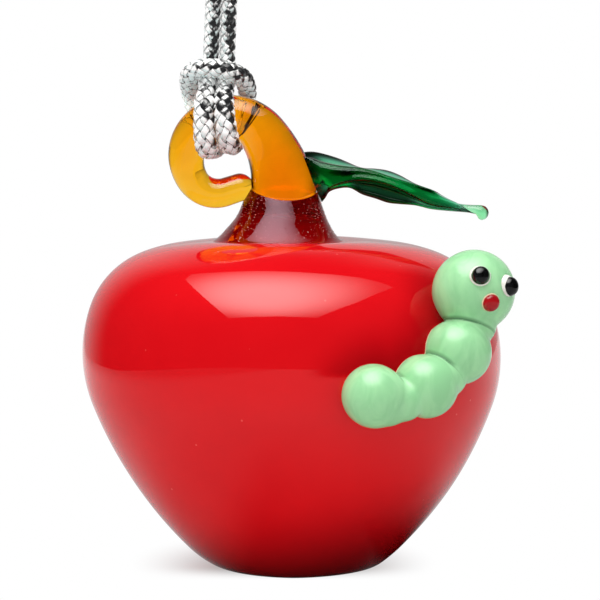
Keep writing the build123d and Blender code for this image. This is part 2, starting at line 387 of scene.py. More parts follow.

# %% [markdown]
# ## Silver film and dark core
# The cord is a braid of flat metallised film over a dark core. Creased film shows either the bright
# studio or the dark side of the room, and hardly anything between. A true mirror would need the whole
# studio around it, so the reflection is painted: each strip keeps a number, its glint, and the film
# turns it into silver or black.
# Behind the rod the film glows a little, for the light that reaches it through the amber and that this
# renderer does not count.

# %% Cord materials
FILM_DARK = (0.02, 0.02, 0.022)
FILM_LIGHT = (0.99, 0.99, 0.985)
FILM_PAINTED_COOL = (0.77, 0.98, 0.985)
GLINT_STEP = (-0.92, -0.76)
STRIP_EDGE_SHADE_STEP = (0.80, 0.96)
UNDERSIDE = (-0.7, 0.1)
BEHIND_ROD = (0.0012, 0.0026)
GLOW_FACING = (-0.5, 0.0)
GLOW_TINT = (1.0, 0.95, 0.85)
GLOW_STRENGTH = 0.6


def film_material():
    """Creased film with a painted reflection, painted shade at its strip edges, and lower faces painted cool
    against the apple's red light.
    """
    material, tree, shader, place = new_material("silver_film")
    crinkle = noise(tree, place, 2600.0, 3.0, 0.6)
    stray = times(tree, calc(tree, "SUBTRACT", crinkle, 0.5), 0.25)
    # Painted reflection: the glint turns the film silver or black.
    glint = calc(tree, "ADD", point_value(tree, "glint"), stray)
    # Painted shade: each strip darkens towards its edges.
    edge = remap(tree, point_value(tree, "strip_edge"), *STRIP_EDGE_SHADE_STEP, 1.0, 0.1)
    shade = times(tree, remap(tree, glint, *GLINT_STEP, 0.0, 1.0), edge)
    tint = colour_mix(tree, shade, FILM_DARK, FILM_LIGHT)
    # Painted light: faces that look down are tinted cool against the red light from the apple.
    facing = tree.nodes.new("ShaderNodeNewGeometry").outputs["Normal"]
    under = remap(tree, axis(tree, facing, "Z"), *UNDERSIDE, 1.0, 0.0)
    tint = colour_mix(tree, under, tint, FILM_PAINTED_COOL, "MULTIPLY")
    behind = remap(tree, axis(tree, place, "Y"), *BEHIND_ROD, 0.0, 1.0)
    behind = times(tree, behind, remap(tree, axis(tree, facing, "Y"), *GLOW_FACING, 1.0, 0.0))
    through = colour_mix(tree, 1.0, tint, GLOW_TINT, "MULTIPLY")
    set_inputs(tree, shader, Emission_Color=through, Emission_Strength=times(tree, behind, GLOW_STRENGTH))
    rough = remap(tree, crinkle, 0.2, 0.8, 0.15, 0.35)
    set_inputs(tree, shader, Base_Color=tint, Metallic=0.05, Roughness=rough)
    bump(tree, shader, crinkle, 0.00003)
    return material


def core_material():
    """The matt dark yarn inside the braid."""
    material, tree, shader, place = new_material("dark_cord_core")
    fibre = noise(tree, place, 3500.0, 2.0)
    tint = colour_mix(tree, fibre, (0.004, 0.004, 0.005), (0.025, 0.025, 0.026))
    set_inputs(tree, shader, Base_Color=tint, Roughness=0.55)
    bump(tree, shader, fibre, 0.00004)
    return material


silver_film = film_material()
dark_core = core_material()
print("cord finishes", silver_film.name, dark_core.name)

# %% [markdown]
# ## The braid's line
# Strips could be modelled one by one, but a Geometry Nodes tree lays them all by one rule. A tree is a
# recipe with named inputs. The first steps of this one take the cord's line at even steps, and keep on
# every point which way the line runs there, a direction across it and how far along it lies.

# %% Braid line
def tree_with(name, floats, integers, materials):
    """A geometry tree with named inputs, and one geometry in and out."""
    tree = bpy.data.node_groups.new(name, "GeometryNodeTree")
    tree.interface.new_socket("Geometry", in_out="INPUT", socket_type="NodeSocketGeometry")
    for kind, names in (("Float", floats), ("Int", integers), ("Material", materials)):
        for label in names:
            tree.interface.new_socket(label, in_out="INPUT", socket_type="NodeSocket" + kind)
    tree.interface.new_socket("Geometry", in_out="OUTPUT", socket_type="NodeSocketGeometry")
    return tree, tree.nodes.new("NodeGroupInput").outputs


def named(tree, name, kind):
    """A value that the mesh keeps on its points, for a geometry tree."""
    node = add_node(tree, "GeometryNodeInputNamedAttribute", {"data_type": kind}, Name=name)
    return node.outputs["Attribute"]


def marked_with(tree, geometry, name, value):
    """The geometry with a value kept on its points."""
    node = add_node(tree, "GeometryNodeStoreNamedAttribute", Geometry=geometry, Name=name, Value=value)
    return node.outputs["Geometry"]


def position(tree):
    """Where a point is."""
    return tree.nodes.new("GeometryNodeInputPosition").outputs["Position"]


def kept_line(tree, given):
    """The line at even steps, and the same line with its directions and length kept on each point."""
    curve = add_node(tree, "GeometryNodeMeshToCurve", Mesh=given["Geometry"]).outputs["Curve"]
    even = add_node(tree, "GeometryNodeResampleCurve", {"mode": "LENGTH"}, Curve=curve, Length=given["Step"])
    kept = add_node(tree, "GeometryNodeCaptureAttribute", Geometry=even.outputs["Curve"])
    sources = {
        "Across": tree.nodes.new("GeometryNodeInputNormal").outputs["Normal"],
        "Along": tree.nodes.new("GeometryNodeInputTangent").outputs["Tangent"],
        "Length": tree.nodes.new("GeometryNodeSplineParameter").outputs["Length"],
    }
    for name, source in sources.items():
        kept.capture_items.new("FLOAT" if name == "Length" else "VECTOR", name)
        tree.links.new(source, kept.inputs[name])
    return even.outputs["Curve"], kept.outputs


print("line helpers ready")

# %% [markdown]
# ## A strip's glint
# Film is dark where it faces the dark side of the room. Which way that is will be kept on the points of
# the cord's line. Each strip rises and sinks at its crossings, so its faces tilt. The tilt, a shade on
# one side and some luck for each crossing give every point of a strip its glint.

# %% Strip glint
def strip_tilt(tree, given, way, crossing):
    """How much a strip leans along the cord where it goes over or under another."""
    waves = times(tree, given["Strips Each Way"], 2 * math.pi)
    waves = calc(tree, "DIVIDE", waves, given["Lay Length"])
    steepest = times(tree, times(tree, way, given["Weave Depth"]), waves)
    return times(tree, steepest, calc(tree, "SINE", crossing))


def strip_glint(tree, given, kept, out, way, crossing, number):
    """How bright a strip is at a point, before the material turns it into black or silver."""
    tilt = strip_tilt(tree, given, way, crossing)
    facing = vector_calc(tree, "ADD", out, vector_calc(tree, "SCALE", kept["Along"], scale=tilt))
    facing = vector_calc(tree, "NORMALIZE", facing)
    shade = vector_calc(tree, "DOT_PRODUCT", facing, named(tree, "dark_way", "FLOAT_VECTOR"))
    right = calc(tree, "MAXIMUM", axis(tree, out, "X"), 0.0)
    side = times(tree, right, calc(tree, "MAXIMUM", way, 0.0))
    shade = calc(tree, "ADD", shade, times(tree, side, given["Side Shade"]))
    cell = calc(tree, "FLOOR", calc(tree, "ADD", calc(tree, "DIVIDE", crossing, math.pi), 0.5))
    lot = calc(tree, "ADD", times(tree, cell, 13.0), times(tree, number, 101.0))
    luck = add_node(tree, "FunctionNodeRandomValue", {"data_type": "FLOAT"}, ID=lot, Seed=given["Seed"])
    luck = times(tree, calc(tree, "SUBTRACT", luck.outputs[1], 0.5), given["Glint Spread"])
    return calc(tree, "SUBTRACT", luck, shade)


print("glint helpers ready")

# %% [markdown]
# ## The braid's strips
# Six strips of film wind one way and six the other, over one and under one. The line is copied once for
# each strip, each point moves out by an angle that grows with the length, and the radius swells and sinks
# once for each crossing. A little noise keeps the lay from looking machined.

# %% Braid strips
STRAY_ANGLE = 0.25
STRAY_RADIUS = 0.0001


def strip_stray(tree, given, share):
    """A small unevenness, different on each strip."""
    uneven = add_node(tree, "ShaderNodeTexNoise", {"noise_dimensions": "4D"}, Scale=1400.0, Detail=1.0)
    set_inputs(tree, uneven, Vector=position(tree))
    set_inputs(tree, uneven, W=calc(tree, "ADD", times(tree, share, 7.3), given["Seed"]))
    return calc(tree, "SUBTRACT", uneven.outputs[0], 0.5)


def strip_lines(tree, given, kept, swell):
    """A line for each strip, laid round the cord, with its glint on every point."""
    amount = times(tree, given["Strips Each Way"], 2.0)
    copies = add_node(tree, "GeometryNodeDuplicateElements", {"domain": "SPLINE"}, Amount=amount)
    tree.links.new(kept["Geometry"], copies.inputs["Geometry"])
    number = copies.outputs["Duplicate Index"]
    share = calc(tree, "DIVIDE", number, given["Strips Each Way"])
    way = calc(tree, "SUBTRACT", 1.0, times(tree, calc(tree, "FLOOR", share), 2.0))
    turns = calc(tree, "DIVIDE", kept["Length"], given["Lay Length"])
    stray = strip_stray(tree, given, share)
    turned = calc(tree, "ADD", times(tree, turns, way), share)
    angle = calc(tree, "ADD", times(tree, turned, 2 * math.pi), times(tree, stray, STRAY_ANGLE))
    aside = vector_calc(tree, "CROSS_PRODUCT", kept["Along"], kept["Across"])
    across = vector_calc(tree, "SCALE", kept["Across"], scale=calc(tree, "COSINE", angle))
    aside = vector_calc(tree, "SCALE", aside, scale=calc(tree, "SINE", angle))
    out = vector_calc(tree, "ADD", across, aside)
    crossing = times(tree, times(tree, turns, given["Strips Each Way"]), 2 * math.pi)
    wave = times(tree, calc(tree, "COSINE", crossing), times(tree, way, given["Weave Depth"]))
    radius = calc(tree, "ADD", given["Braid Radius"], times(tree, stray, STRAY_RADIUS))
    radius = times(tree, calc(tree, "ADD", radius, wave), swell)
    glint = strip_glint(tree, given, kept, out, way, crossing, number)
    moved = add_node(tree, "GeometryNodeSetPosition", Geometry=copies.outputs["Geometry"])
    set_inputs(tree, moved, Offset=vector_calc(tree, "SCALE", out, scale=radius))
    facing = add_node(tree, "GeometryNodeSetCurveNormal", {"mode": "FREE"}, Normal=out)
    set_inputs(tree, facing, Curve=moved.outputs["Geometry"])
    return marked_with(tree, facing.outputs["Curve"], "glint", glint)


print("strip helpers ready")

# %% [markdown]
# ## The whole braid
# A flat oval is swept along each strip, and a round core along the line itself. The oval keeps how near
# each of its points is to the strip's edge. The core is marked before both are joined, so that the last
# two steps can give each its material.

# %% Braid tree
BRAID_SIZES = (
    "Braid Radius",
    "Lay Length",
    "Strip Width",
    "Strip Thickness",
    "Weave Depth",
    "Step",
    "Core Radius",
    "Glint Spread",
    "Side Shade",
)


def swept(tree, lines, outline, swell):
    """A skin along lines, with the outline's shape, wider where the cord swells."""
    node = add_node(tree, "GeometryNodeCurveToMesh", Curve=lines, Scale=swell, Fill_Caps=True)
    tree.links.new(outline, node.inputs["Profile Curve"])
    return node.outputs["Mesh"]


def strip_oval(tree, given):
    """The outline of a strip, with its share of the way to the edge on each point."""
    oval = add_node(tree, "GeometryNodeCurvePrimitiveCircle", {"mode": "RADIUS"}, Resolution=8, Radius=0.5)
    size = add_node(tree, "ShaderNodeCombineXYZ", X=given["Strip Thickness"], Y=given["Strip Width"], Z=1.0)
    rim_share = times(tree, calc(tree, "ABSOLUTE", axis(tree, position(tree), "Y")), 2.0)
    marked = marked_with(tree, oval.outputs["Curve"], "strip_edge", rim_share)
    shaped = add_node(tree, "GeometryNodeTransform", Geometry=marked, Scale=size.outputs[0])
    return shaped.outputs["Geometry"]


def painted(tree, geometry, material):
    """Set Material on a geometry, as a node whose selection can still be linked."""
    return add_node(tree, "GeometryNodeSetMaterial", Geometry=geometry, Material=material)


def braid_tree():
    """Strips and core of a braid on any line, ready made and dressed."""
    tree, given = tree_with("braid", BRAID_SIZES, ("Strips Each Way", "Seed"), ("Film", "Core"))
    line, kept = kept_line(tree, given)
    swell = named(tree, "swell", "FLOAT")
    disc = add_node(tree, "GeometryNodeCurvePrimitiveCircle", {"mode": "RADIUS"}, Resolution=12)
    tree.links.new(given["Core Radius"], disc.inputs["Radius"])
    strips = swept(tree, strip_lines(tree, given, kept, swell), strip_oval(tree, given), swell)
    core = swept(tree, line, disc.outputs["Curve"], swell)
    both = tree.nodes.new("GeometryNodeJoinGeometry")
    for part in (strips, marked_with(tree, core, "core", 1.0)):
        tree.links.new(part, both.inputs["Geometry"])
    smooth = add_node(tree, "GeometryNodeSetShadeSmooth", Geometry=both.outputs["Geometry"])
    real = add_node(tree, "GeometryNodeRealizeInstances", Geometry=smooth.outputs["Geometry"])
    film = painted(tree, real.outputs["Geometry"], given["Film"])
    dark = painted(tree, film.outputs["Geometry"], given["Core"])
    tree.links.new(named(tree, "core", "FLOAT"), dark.inputs["Selection"])
    result = tree.nodes.new("NodeGroupOutput")
    tree.links.new(dark.outputs["Geometry"], result.inputs["Geometry"])
    return tree


braid = braid_tree()
print("braid tree", len(braid.nodes), "nodes")

# %% [markdown]
# ## Running a tree
# A live modifier would be computed again each time, and could change later. So each tree is run once with
# its inputs set by their identifiers, and its result is kept as a plain mesh.

# %% Running a tree
def made_by(name, mesh, tree, values):
    """A plain mesh object, made by running a geometry tree with its inputs set by name."""
    source = bpy.data.objects.new(name + "_source", mesh)
    scene.collection.objects.link(source)
    modifier = source.modifiers.new("nodes", "NODES")
    modifier.node_group = tree
    for socket in tree.interface.items_tree:
        if socket.item_type == "SOCKET" and socket.in_out == "INPUT" and socket.name in values:
            modifier[socket.identifier] = values[socket.name]
    evaluated = source.evaluated_get(bpy.context.evaluated_depsgraph_get())
    made = bpy.data.meshes.new_from_object(evaluated)
    made.name = name
    empty_slots = [number for number, material in enumerate(made.materials) if material is None]
    for number in reversed(empty_slots):
        made.materials.pop(index=number)
    bpy.data.objects.remove(source)
    piece = bpy.data.objects.new(name, made)
    scene.collection.objects.link(piece)
    return piece


braid_values = {
    "Braid Radius": 0.84 * MM,
    "Lay Length": 9.3 * MM,
    "Strip Width": 0.66 * MM,
    "Strip Thickness": 0.14 * MM,
    "Weave Depth": 0.13 * MM,
    "Step": 0.16 * MM,
    "Core Radius": 0.72 * MM,
    "Glint Spread": 0.3,
    "Side Shade": 0.9,
    "Strips Each Way": 6,
    "Seed": 3,
    "Film": silver_film,
    "Core": dark_core,
}
print("braid inputs", len(braid_values))

# %% [markdown]
# ## The hitched cord
# Two things are kept on the points of the cord's line: how much wider the soft braid is where it is
# pressed against the glass, and which way its dark side looks. The legs and the strands in front are dark
# towards the camera, the strands only in their upper part. The right lobe is dark on top, and the left
# lobe and the low ends of the strands lie in the light.

# %% Hitched cord
CORD_SWELL = 1.06
FRONT_SWELL = 0.45
LOBE_SWELL = 0.2
FRONT_DEPTH = -2.2
LOBE_HEIGHT = 7.0
BAR_HEIGHT = 9.5
STRAND_DARK_SPAN = (3.6, 6.2)
LEG_DARK = (0.25, -0.97, 0.0)
STRAND_DARK = (0.1, -0.98, 0.15)
BAR_DARK = (0.35, -0.9, 0.25)
LOBE_DARK = (0.5, -0.35, 0.79)


def share_between(value, low, high):
    """A share that rises straight from 0 to 1 between two values."""
    return np.clip((value - low) / (high - low), 0, 1)


def set_dark_way(mesh, ways):
    """Keeps on each point of a line which way the dark side of the film looks."""
    attribute = mesh.attributes.new("dark_way", "FLOAT_VECTOR", "POINT")
    attribute.data.foreach_set("vector", np.asarray(ways, np.float32).ravel())


cord_aside, cord_depth, cord_rise = ((cord_path - np.array(eye)) / MM).T
in_front = share_between(-cord_depth, -FRONT_DEPTH, 1.5 - FRONT_DEPTH)
in_hitch = share_between(-cord_rise, 1.0 - PIVOT_HEIGHT, 3.0 - PIVOT_HEIGHT)
in_lobe = share_between(cord_rise, LOBE_HEIGHT, LOBE_HEIGHT + 2.0)
pressed = in_hitch * np.maximum(in_front * FRONT_SWELL, in_lobe * LOBE_SWELL)
keep_on_points(cord_mesh, "swell", CORD_SWELL + pressed)

dark_ways = np.zeros_like(cord_path)
dark_ways[(cord_aside > 1.2) & (cord_depth > -3.0)] = LOBE_DARK
dark_ways[(cord_depth < FRONT_DEPTH) & (cord_rise >= BAR_HEIGHT)] = BAR_DARK
in_strand = (cord_depth < FRONT_DEPTH) & (cord_rise < BAR_HEIGHT)
strand_share = share_between(cord_rise[in_strand], *STRAND_DARK_SPAN)
dark_ways[in_strand] = strand_share[:, None] * np.array(STRAND_DARK)
dark_ways[cord_rise > PIVOT_HEIGHT - 1.5] = LEG_DARK
set_dark_way(cord_mesh, dark_ways)
cord = made_by("hanging_cord", cord_mesh.copy(), braid, braid_values)
print("cord braid", len(cord.data.polygons), "faces", [m.name for m in cord.data.materials])

# %% [markdown]
# ## The knot
# Above the photograph's edge both ends are tied together. The two ends go up through the knot and end in
# short tails, and the wraps go round them one and a third times. A lump with a braid texture would do
# from far away, but the same tree on other lines gives a true braid for little more work.

# %% Knot
KNOT_WRAP_WIDTH = 2.55
KNOT_WRAP_DEPTH = 2.15
KNOT_WRAP_RISE = 3.0
KNOT_WRAP_STARTS = (0.6, 2.75)
KNOT_TAIL_TOP = 10.1
KNOT_TURNS = (-230, 250)

knot_low = pivot + Vector((math.tan(LEG_LEAN) * LEG_LENGTH, 0.0, LEG_LENGTH)) * MM


def knot_end(side):
    """The line of one end of the cord, up through the knot."""
    half = side * LEG_SPACING / 2
    return [
        (half, 0, 0),
        (half * 0.9, 0.2 * side, 2.4),
        (half, 0.1, 5.5),
        (half * 1.1, -0.2 * side, KNOT_TAIL_TOP),
    ]


def knot_wrap(start):
    """The line of a wrap round both ends of the cord, with its own ends tucked in."""
    first, last = KNOT_TURNS
    wrap = []
    for turn in range(first, last + 1, 40):
        share = (turn - first) / (last - first)
        tuck = min(1.0, 0.35 + 4 * share, 0.35 + 4 * (1 - share))
        x = math.cos(math.radians(turn)) * KNOT_WRAP_WIDTH * tuck
        y = math.sin(math.radians(turn)) * KNOT_WRAP_DEPTH * tuck
        wrap.append((x, y, start + KNOT_WRAP_RISE * share))
    return wrap


knot_work = bmesh.new()
knot_routes = [knot_end(-1), knot_end(1), *(knot_wrap(start) for start in KNOT_WRAP_STARTS)]
for number, route in enumerate(knot_routes):
    knot_points = [knot_low + Vector(p) * MM for p in route]
    knot_work.from_mesh(line_mesh(nurbs_line(f"knot_line_{number}", knot_points)))
knot_mesh = bpy.data.meshes.new("knot_lines")
knot_work.to_mesh(knot_mesh)
knot_work.free()
keep_on_points(knot_mesh, "swell", np.full(len(knot_mesh.vertices), CORD_SWELL))
set_dark_way(knot_mesh, np.tile(LEG_DARK, (len(knot_mesh.vertices), 1)))
knot = made_by("cord_knot_braid", knot_mesh, braid, {**braid_values, "Seed": 11})
print("knot", len(knot.data.polygons), "faces")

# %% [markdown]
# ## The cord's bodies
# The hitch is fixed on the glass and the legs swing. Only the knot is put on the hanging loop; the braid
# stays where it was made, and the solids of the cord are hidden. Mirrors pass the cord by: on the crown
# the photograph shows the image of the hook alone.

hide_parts("cord_knot")
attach(knot, "hanging_loop")
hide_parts("cord_hitch", "cord_left_leg", "cord_right_leg")
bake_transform(cord)
cord.visible_glossy = False
knot.visible_glossy = False

# %% [markdown]
# ## The studio
# The photograph shows a white table, a white background and one large softbox overhead, a little to the
# left. The room on the camera's side is dark, which keeps the red deep. A photographer would set that up
# with black and white cards. Here the world tells the rays apart: the camera sees plain white, mirrors
# see white behind and dark in front, clear glass sees white above and behind, and matt surfaces get an
# even fill.

# %% Studio world
WHITE = (1.0, 1.0, 1.0, 1.0)
FILL = 0.72
DARK_ROOM = 0.02
MIRRORED_SPAN = (0.54, 1.0)
MIRRORED_WHITE = 0.53
CLEAR_WAY = (0.0, 0.9, 0.43)
CLEAR_SPAN = (0.15, 0.65)


def bare_tree(owner):
    """The empty node tree of a material or of the world."""
    owner.use_nodes = True
    owner.node_tree.nodes.clear()
    return owner.node_tree


def number_mix(tree, factor, first, second):
    """A number between two."""
    node = add_node(tree, "ShaderNodeMix", {"data_type": "FLOAT"}, Factor=factor, A=first, B=second)
    return node.outputs[0]


def studio_world():
    """A white background that the camera, mirrors, clear glass and matt surfaces each see differently."""
    world = bpy.data.worlds.new("studio")
    tree = bare_tree(world)
    path = tree.nodes.new("ShaderNodeLightPath").outputs
    way = tree.nodes.new("ShaderNodeTexCoord").outputs["Generated"]
    mirrored = remap(tree, axis(tree, way, "Y"), *MIRRORED_SPAN, DARK_ROOM, MIRRORED_WHITE)
    ahead = vector_calc(tree, "DOT_PRODUCT", way, CLEAR_WAY)
    seen_through = remap(tree, ahead, *CLEAR_SPAN, DARK_ROOM, 1.0)
    strength = number_mix(tree, path["Is Glossy Ray"], FILL, mirrored)
    strength = number_mix(tree, path["Is Transmission Ray"], strength, seen_through)
    strength = calc(tree, "MAXIMUM", strength, path["Is Camera Ray"])
    sky = add_node(tree, "ShaderNodeBackground", Color=WHITE, Strength=strength)
    out = tree.nodes.new("ShaderNodeOutputWorld")
    tree.links.new(sky.outputs["Background"], out.inputs["Surface"])
    scene.world = world
    return world


print("world", studio_world().name)

# %% [markdown]
# ## The table's light and shade
# To the camera the table is as white as the background, and only the apple's soft shadow shows on it,
# with a painted red glow of the apple's light close to the glass. The apple mirrors the table: light far
# behind it, and dark where the apple shades it in front and on the right. Light bounced from a lit sheet
# would be noisier and harder to aim, so the brightness of that mirror image is painted by place, in
# metres from the middle of the base.

# %% Table shading
PAPER_TINTS = ((0.66, 0.65, 0.65), (0.70, 0.69, 0.69))
PAPER_PAINTED_RED_GLOW = (0.75, 0.32, 0.28)
RED_GLOW_REACH = (0.008, 0.018)
SHADOW_MIDDLE = (-0.0012, 0.008, 0.0)
SHADOW_STRETCH = (1.0, 0.55, 1.0)
SHADOW_REACH = (0.007, 0.0215)
SHADOW_SHARE = 0.65
SHADOW_FRONT = (-0.012, 0.004)
TABLE_LIT_SPAN = (-0.125, 0.25)
TABLE_MIRRORED = (0.36, 0.9)
TABLE_FADE_LEFT = (-0.2, -0.1)
TABLE_FADE_SHARE = 0.45
TABLE_DIM_REACH = (0.016, 0.056)
TABLE_DIM_FRONT = (-0.010, 0.017)
TABLE_DIM_SHARE = 0.97
TABLE_DIM_LEFT = (-0.02, -0.005)
TABLE_DIM_LEFT_SHARE = 0.5
TABLE_DIM_TURN = (0.0, 0.015)
TABLE_DIM_RIGHT = (0.018, 0.042)


def paper_shader(tree, place):
    """Matt paper, with a painted red glow of the apple's light close to its foot."""
    tint = colour_mix(tree, noise(tree, place, 60.0, 2.0), *PAPER_TINTS)
    # Painted light: the paper turns red close to the apple's foot.
    near = remap(tree, vector_calc(tree, "LENGTH", place), *RED_GLOW_REACH, 1.0, 0.0)
    tint = colour_mix(tree, near, tint, PAPER_PAINTED_RED_GLOW)
    return add_node(tree, "ShaderNodeBsdfDiffuse", Color=tint).outputs["BSDF"]


def shadow_share(tree, place):
    """How much of the paper's own shade the camera sees: some in the soft shadow, and none elsewhere."""
    away = vector_calc(tree, "SUBTRACT", place, SHADOW_MIDDLE)
    away = vector_calc(tree, "LENGTH", vector_calc(tree, "MULTIPLY", away, SHADOW_STRETCH))
    near = remap(tree, away, *SHADOW_REACH, SHADOW_SHARE, 0.0)
    return times(tree, near, remap(tree, axis(tree, place, "Y"), *SHADOW_FRONT, 0.0, 1.0))


def mirrored_table(tree, place):
    """How bright the table is in mirrors."""
    away = vector_calc(tree, "LENGTH", place)
    aside = axis(tree, place, "X")
    depth = axis(tree, place, "Y")
    lit = remap(tree, depth, *TABLE_LIT_SPAN, *TABLE_MIRRORED)
    lit = times(tree, lit, remap(tree, aside, *TABLE_FADE_LEFT, TABLE_FADE_SHARE, 1.0))
    dim = remap(tree, away, *TABLE_DIM_REACH, TABLE_DIM_SHARE, 0.0)
    dim = times(tree, dim, remap(tree, depth, *TABLE_DIM_FRONT, 1.0, 0.0))
    dim = times(tree, dim, remap(tree, aside, *TABLE_DIM_LEFT, TABLE_DIM_LEFT_SHARE, 1.0))
    right = remap(tree, aside, *TABLE_DIM_TURN, 0.0, 1.0)
    right = times(tree, right, remap(tree, away, *TABLE_DIM_RIGHT, 1.0, 0.0))
    dim = calc(tree, "MAXIMUM", dim, right)
    return times(tree, lit, calc(tree, "SUBTRACT", 1.0, dim))


print("table shading ready")

# %% [markdown]
# ## The table
# The table is one level sheet. Its border shows in the apple as a horizon, so its corners are set where
# the photograph has that line. It belongs to the studio and not to the apple.

# %% Table
TABLE_CORNERS = (
    (-0.65, -1.2),
    (0.65, -1.2),
    (0.42, -0.35),
    (0.30, 0.05),
    (0.30, 0.60),
    (-0.18, 0.60),
    (-0.20, 0.05),
    (-0.42, -0.35),
)


def shader_mix(tree, factor, first, second):
    """A shader between two."""
    node = add_node(tree, "ShaderNodeMixShader", Fac=factor)
    tree.links.new(first, node.inputs[1])
    tree.links.new(second, node.inputs[2])
    return node.outputs["Shader"]


def glow(tree, strength, colour=WHITE):
    """Plain light."""
    return add_node(tree, "ShaderNodeEmission", Color=colour, Strength=strength).outputs["Emission"]


def put_on_surface(tree, shader):
    """Makes a shader the surface of a bare material."""
    out = tree.nodes.new("ShaderNodeOutputMaterial")
    tree.links.new(shader, out.inputs["Surface"])


def table_material():
    """White to the camera apart from the shadow, matt for other light, and with its own image in mirrors."""
    material = bpy.data.materials.new("white_table")
    tree = bare_tree(material)
    place = tree.nodes.new("ShaderNodeTexCoord").outputs["Object"]
    path = tree.nodes.new("ShaderNodeLightPath").outputs
    seen = calc(tree, "MAXIMUM", path["Is Camera Ray"], path["Is Transmission Ray"])
    unseen = calc(tree, "SUBTRACT", 1.0, seen)
    share = calc(tree, "ADD", unseen, times(tree, seen, shadow_share(tree, place)))
    mixed = shader_mix(tree, share, glow(tree, 1.0), paper_shader(tree, place))
    image = glow(tree, mirrored_table(tree, place))
    put_on_surface(tree, shader_mix(tree, path["Is Glossy Ray"], mixed, image))
    return material


def flat_piece(name, corners, height, material):
    """A level polygon for the studio."""
    piece = piece_from(name, [(x, y, height) for x, y in corners], [tuple(range(len(corners)))])
    piece.data.materials.append(material)
    return piece


table = flat_piece("table", TABLE_CORNERS, 0.0, table_material())
print("table", len(TABLE_CORNERS), "corners")

# %% [markdown]
# ## The softbox
# The bright window on the apple's crown is the softbox overhead. It has six corners and is brightest near
# its lamp. An area light has only a few plain outlines, so a glowing polygon is used, and the camera
# itself does not see it.

# %% Softbox
SOFTBOX_HEIGHT = 0.34
SOFTBOX_CORNERS = (
    (-0.264, -0.323),
    (0.108, -0.344),
    (0.179, -0.135),
    (0.209, 0.062),
    (-0.150, 0.172),
    (-0.182, 0.130),
)
SOFTBOX_BRIGHTEST = (-0.06, -0.12)
SOFTBOX_FADE = (0.04, 0.30)
SOFTBOX_STRENGTH = (5.3, 0.35)
SOFTBOX_MIRRORED = 1.25
SOFTBOX_TINT = (1.0, 0.99, 0.97, 1.0)


def softbox_material():
    """Light that is strongest near the lamp and a little stronger in mirrors. The softbox's back is dark."""
    material = bpy.data.materials.new("softbox")
    tree = bare_tree(material)
    place = tree.nodes.new("ShaderNodeTexCoord").outputs["Object"]
    spot = vector_calc(tree, "SUBTRACT", place, (*SOFTBOX_BRIGHTEST, SOFTBOX_HEIGHT))
    strength = remap(tree, vector_calc(tree, "LENGTH", spot), *SOFTBOX_FADE, *SOFTBOX_STRENGTH)
    back = tree.nodes.new("ShaderNodeNewGeometry").outputs["Backfacing"]
    strength = times(tree, strength, calc(tree, "SUBTRACT", 1.0, back))
    glossy = tree.nodes.new("ShaderNodeLightPath").outputs["Is Glossy Ray"]
    strength = times(tree, strength, remap(tree, glossy, 0.0, 1.0, 1.0, SOFTBOX_MIRRORED))
    put_on_surface(tree, glow(tree, strength, SOFTBOX_TINT))
    return material


softbox = flat_piece("softbox", SOFTBOX_CORNERS, SOFTBOX_HEIGHT, softbox_material())
softbox.data.flip_normals()
softbox.visible_camera = False
print("softbox", len(SOFTBOX_CORNERS), "corners")

# %% [markdown]
# ## The apple's outline
# The blower shaped the body by turning it, so it is a lathe form: four arcs that pass smoothly into each
# other, with the same radii as in the solids. The real foot is softer than the solid's. A larger arc that
# touches both the flat base and the wall tells how far each point of the foot rises.

# %% Apple outline
ARC_RADII = (3.7, 54.5, 19.0, 12.0)
ARC_SLOPES = (-90.0, -49.0, -21.0, 21.0, 90.0)
FOOT_RADIUS = 11.5

apple_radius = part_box("apple_casing")[1].x / MM


def polar(radius, degrees):
    """A point in a plane, from its distance and its angle."""
    return np.array([radius * math.cos(math.radians(degrees)), radius * math.sin(math.radians(degrees))])


def apple_arcs():
    """Centre, radius and end slopes of each arc of the meridian, from the base up, in millimetres."""
    centres = [np.zeros(2)]
    for step in range(3):
        centres.append(centres[-1] + polar(ARC_RADII[step] - ARC_RADII[step + 1], ARC_SLOPES[step + 1]))
    shift = np.array([apple_radius - ARC_RADII[2] - centres[2][0], ARC_RADII[0]])
    return [(c + shift, r, a, b) for c, r, a, b in zip(centres, ARC_RADII, ARC_SLOPES, ARC_SLOPES[1:])]


def foot_rise(radius):
    """How much higher than the solid a foot with a rounder edge stands at a distance from the axis."""
    (wall, wall_radius, _, _), (sharp, sharp_radius, _, _) = apple_arcs()[1], apple_arcs()[0]
    inner = wall[0] + math.sqrt((wall_radius - FOOT_RADIUS) ** 2 - (wall[1] - FOOT_RADIUS) ** 2)
    meet = wall + (np.array([inner, FOOT_RADIUS]) - wall) * wall_radius / (wall_radius - FOOT_RADIUS)
    if radius <= inner or radius >= meet[0]:
        return 0.0
    round_height = FOOT_RADIUS - math.sqrt(FOOT_RADIUS**2 - (radius - inner) ** 2)
    if radius < sharp[0]:
        return round_height
    edge = sharp + polar(sharp_radius, ARC_SLOPES[1])
    if radius < edge[0]:
        return round_height - sharp_radius + math.sqrt(sharp_radius**2 - (radius - sharp[0]) ** 2)
    return round_height - wall[1] + math.sqrt(wall_radius**2 - (radius - wall[0]) ** 2)


print("apple radius", round(apple_radius, 2), "mm")

# %% [markdown]
# ## Red cased glass
# The glass is cased: clear red over an opaque red bubble. Nothing shows through, so a gloss on a deep red
# gives the right look for far less work than two clear layers. The red has painted shade at the foot, most
# on the right, and a little painted shade above the waist. Close to the worm and above the horizon the red
# gets painted shade and the gloss is quiet, because the worm hides the bright studio there.

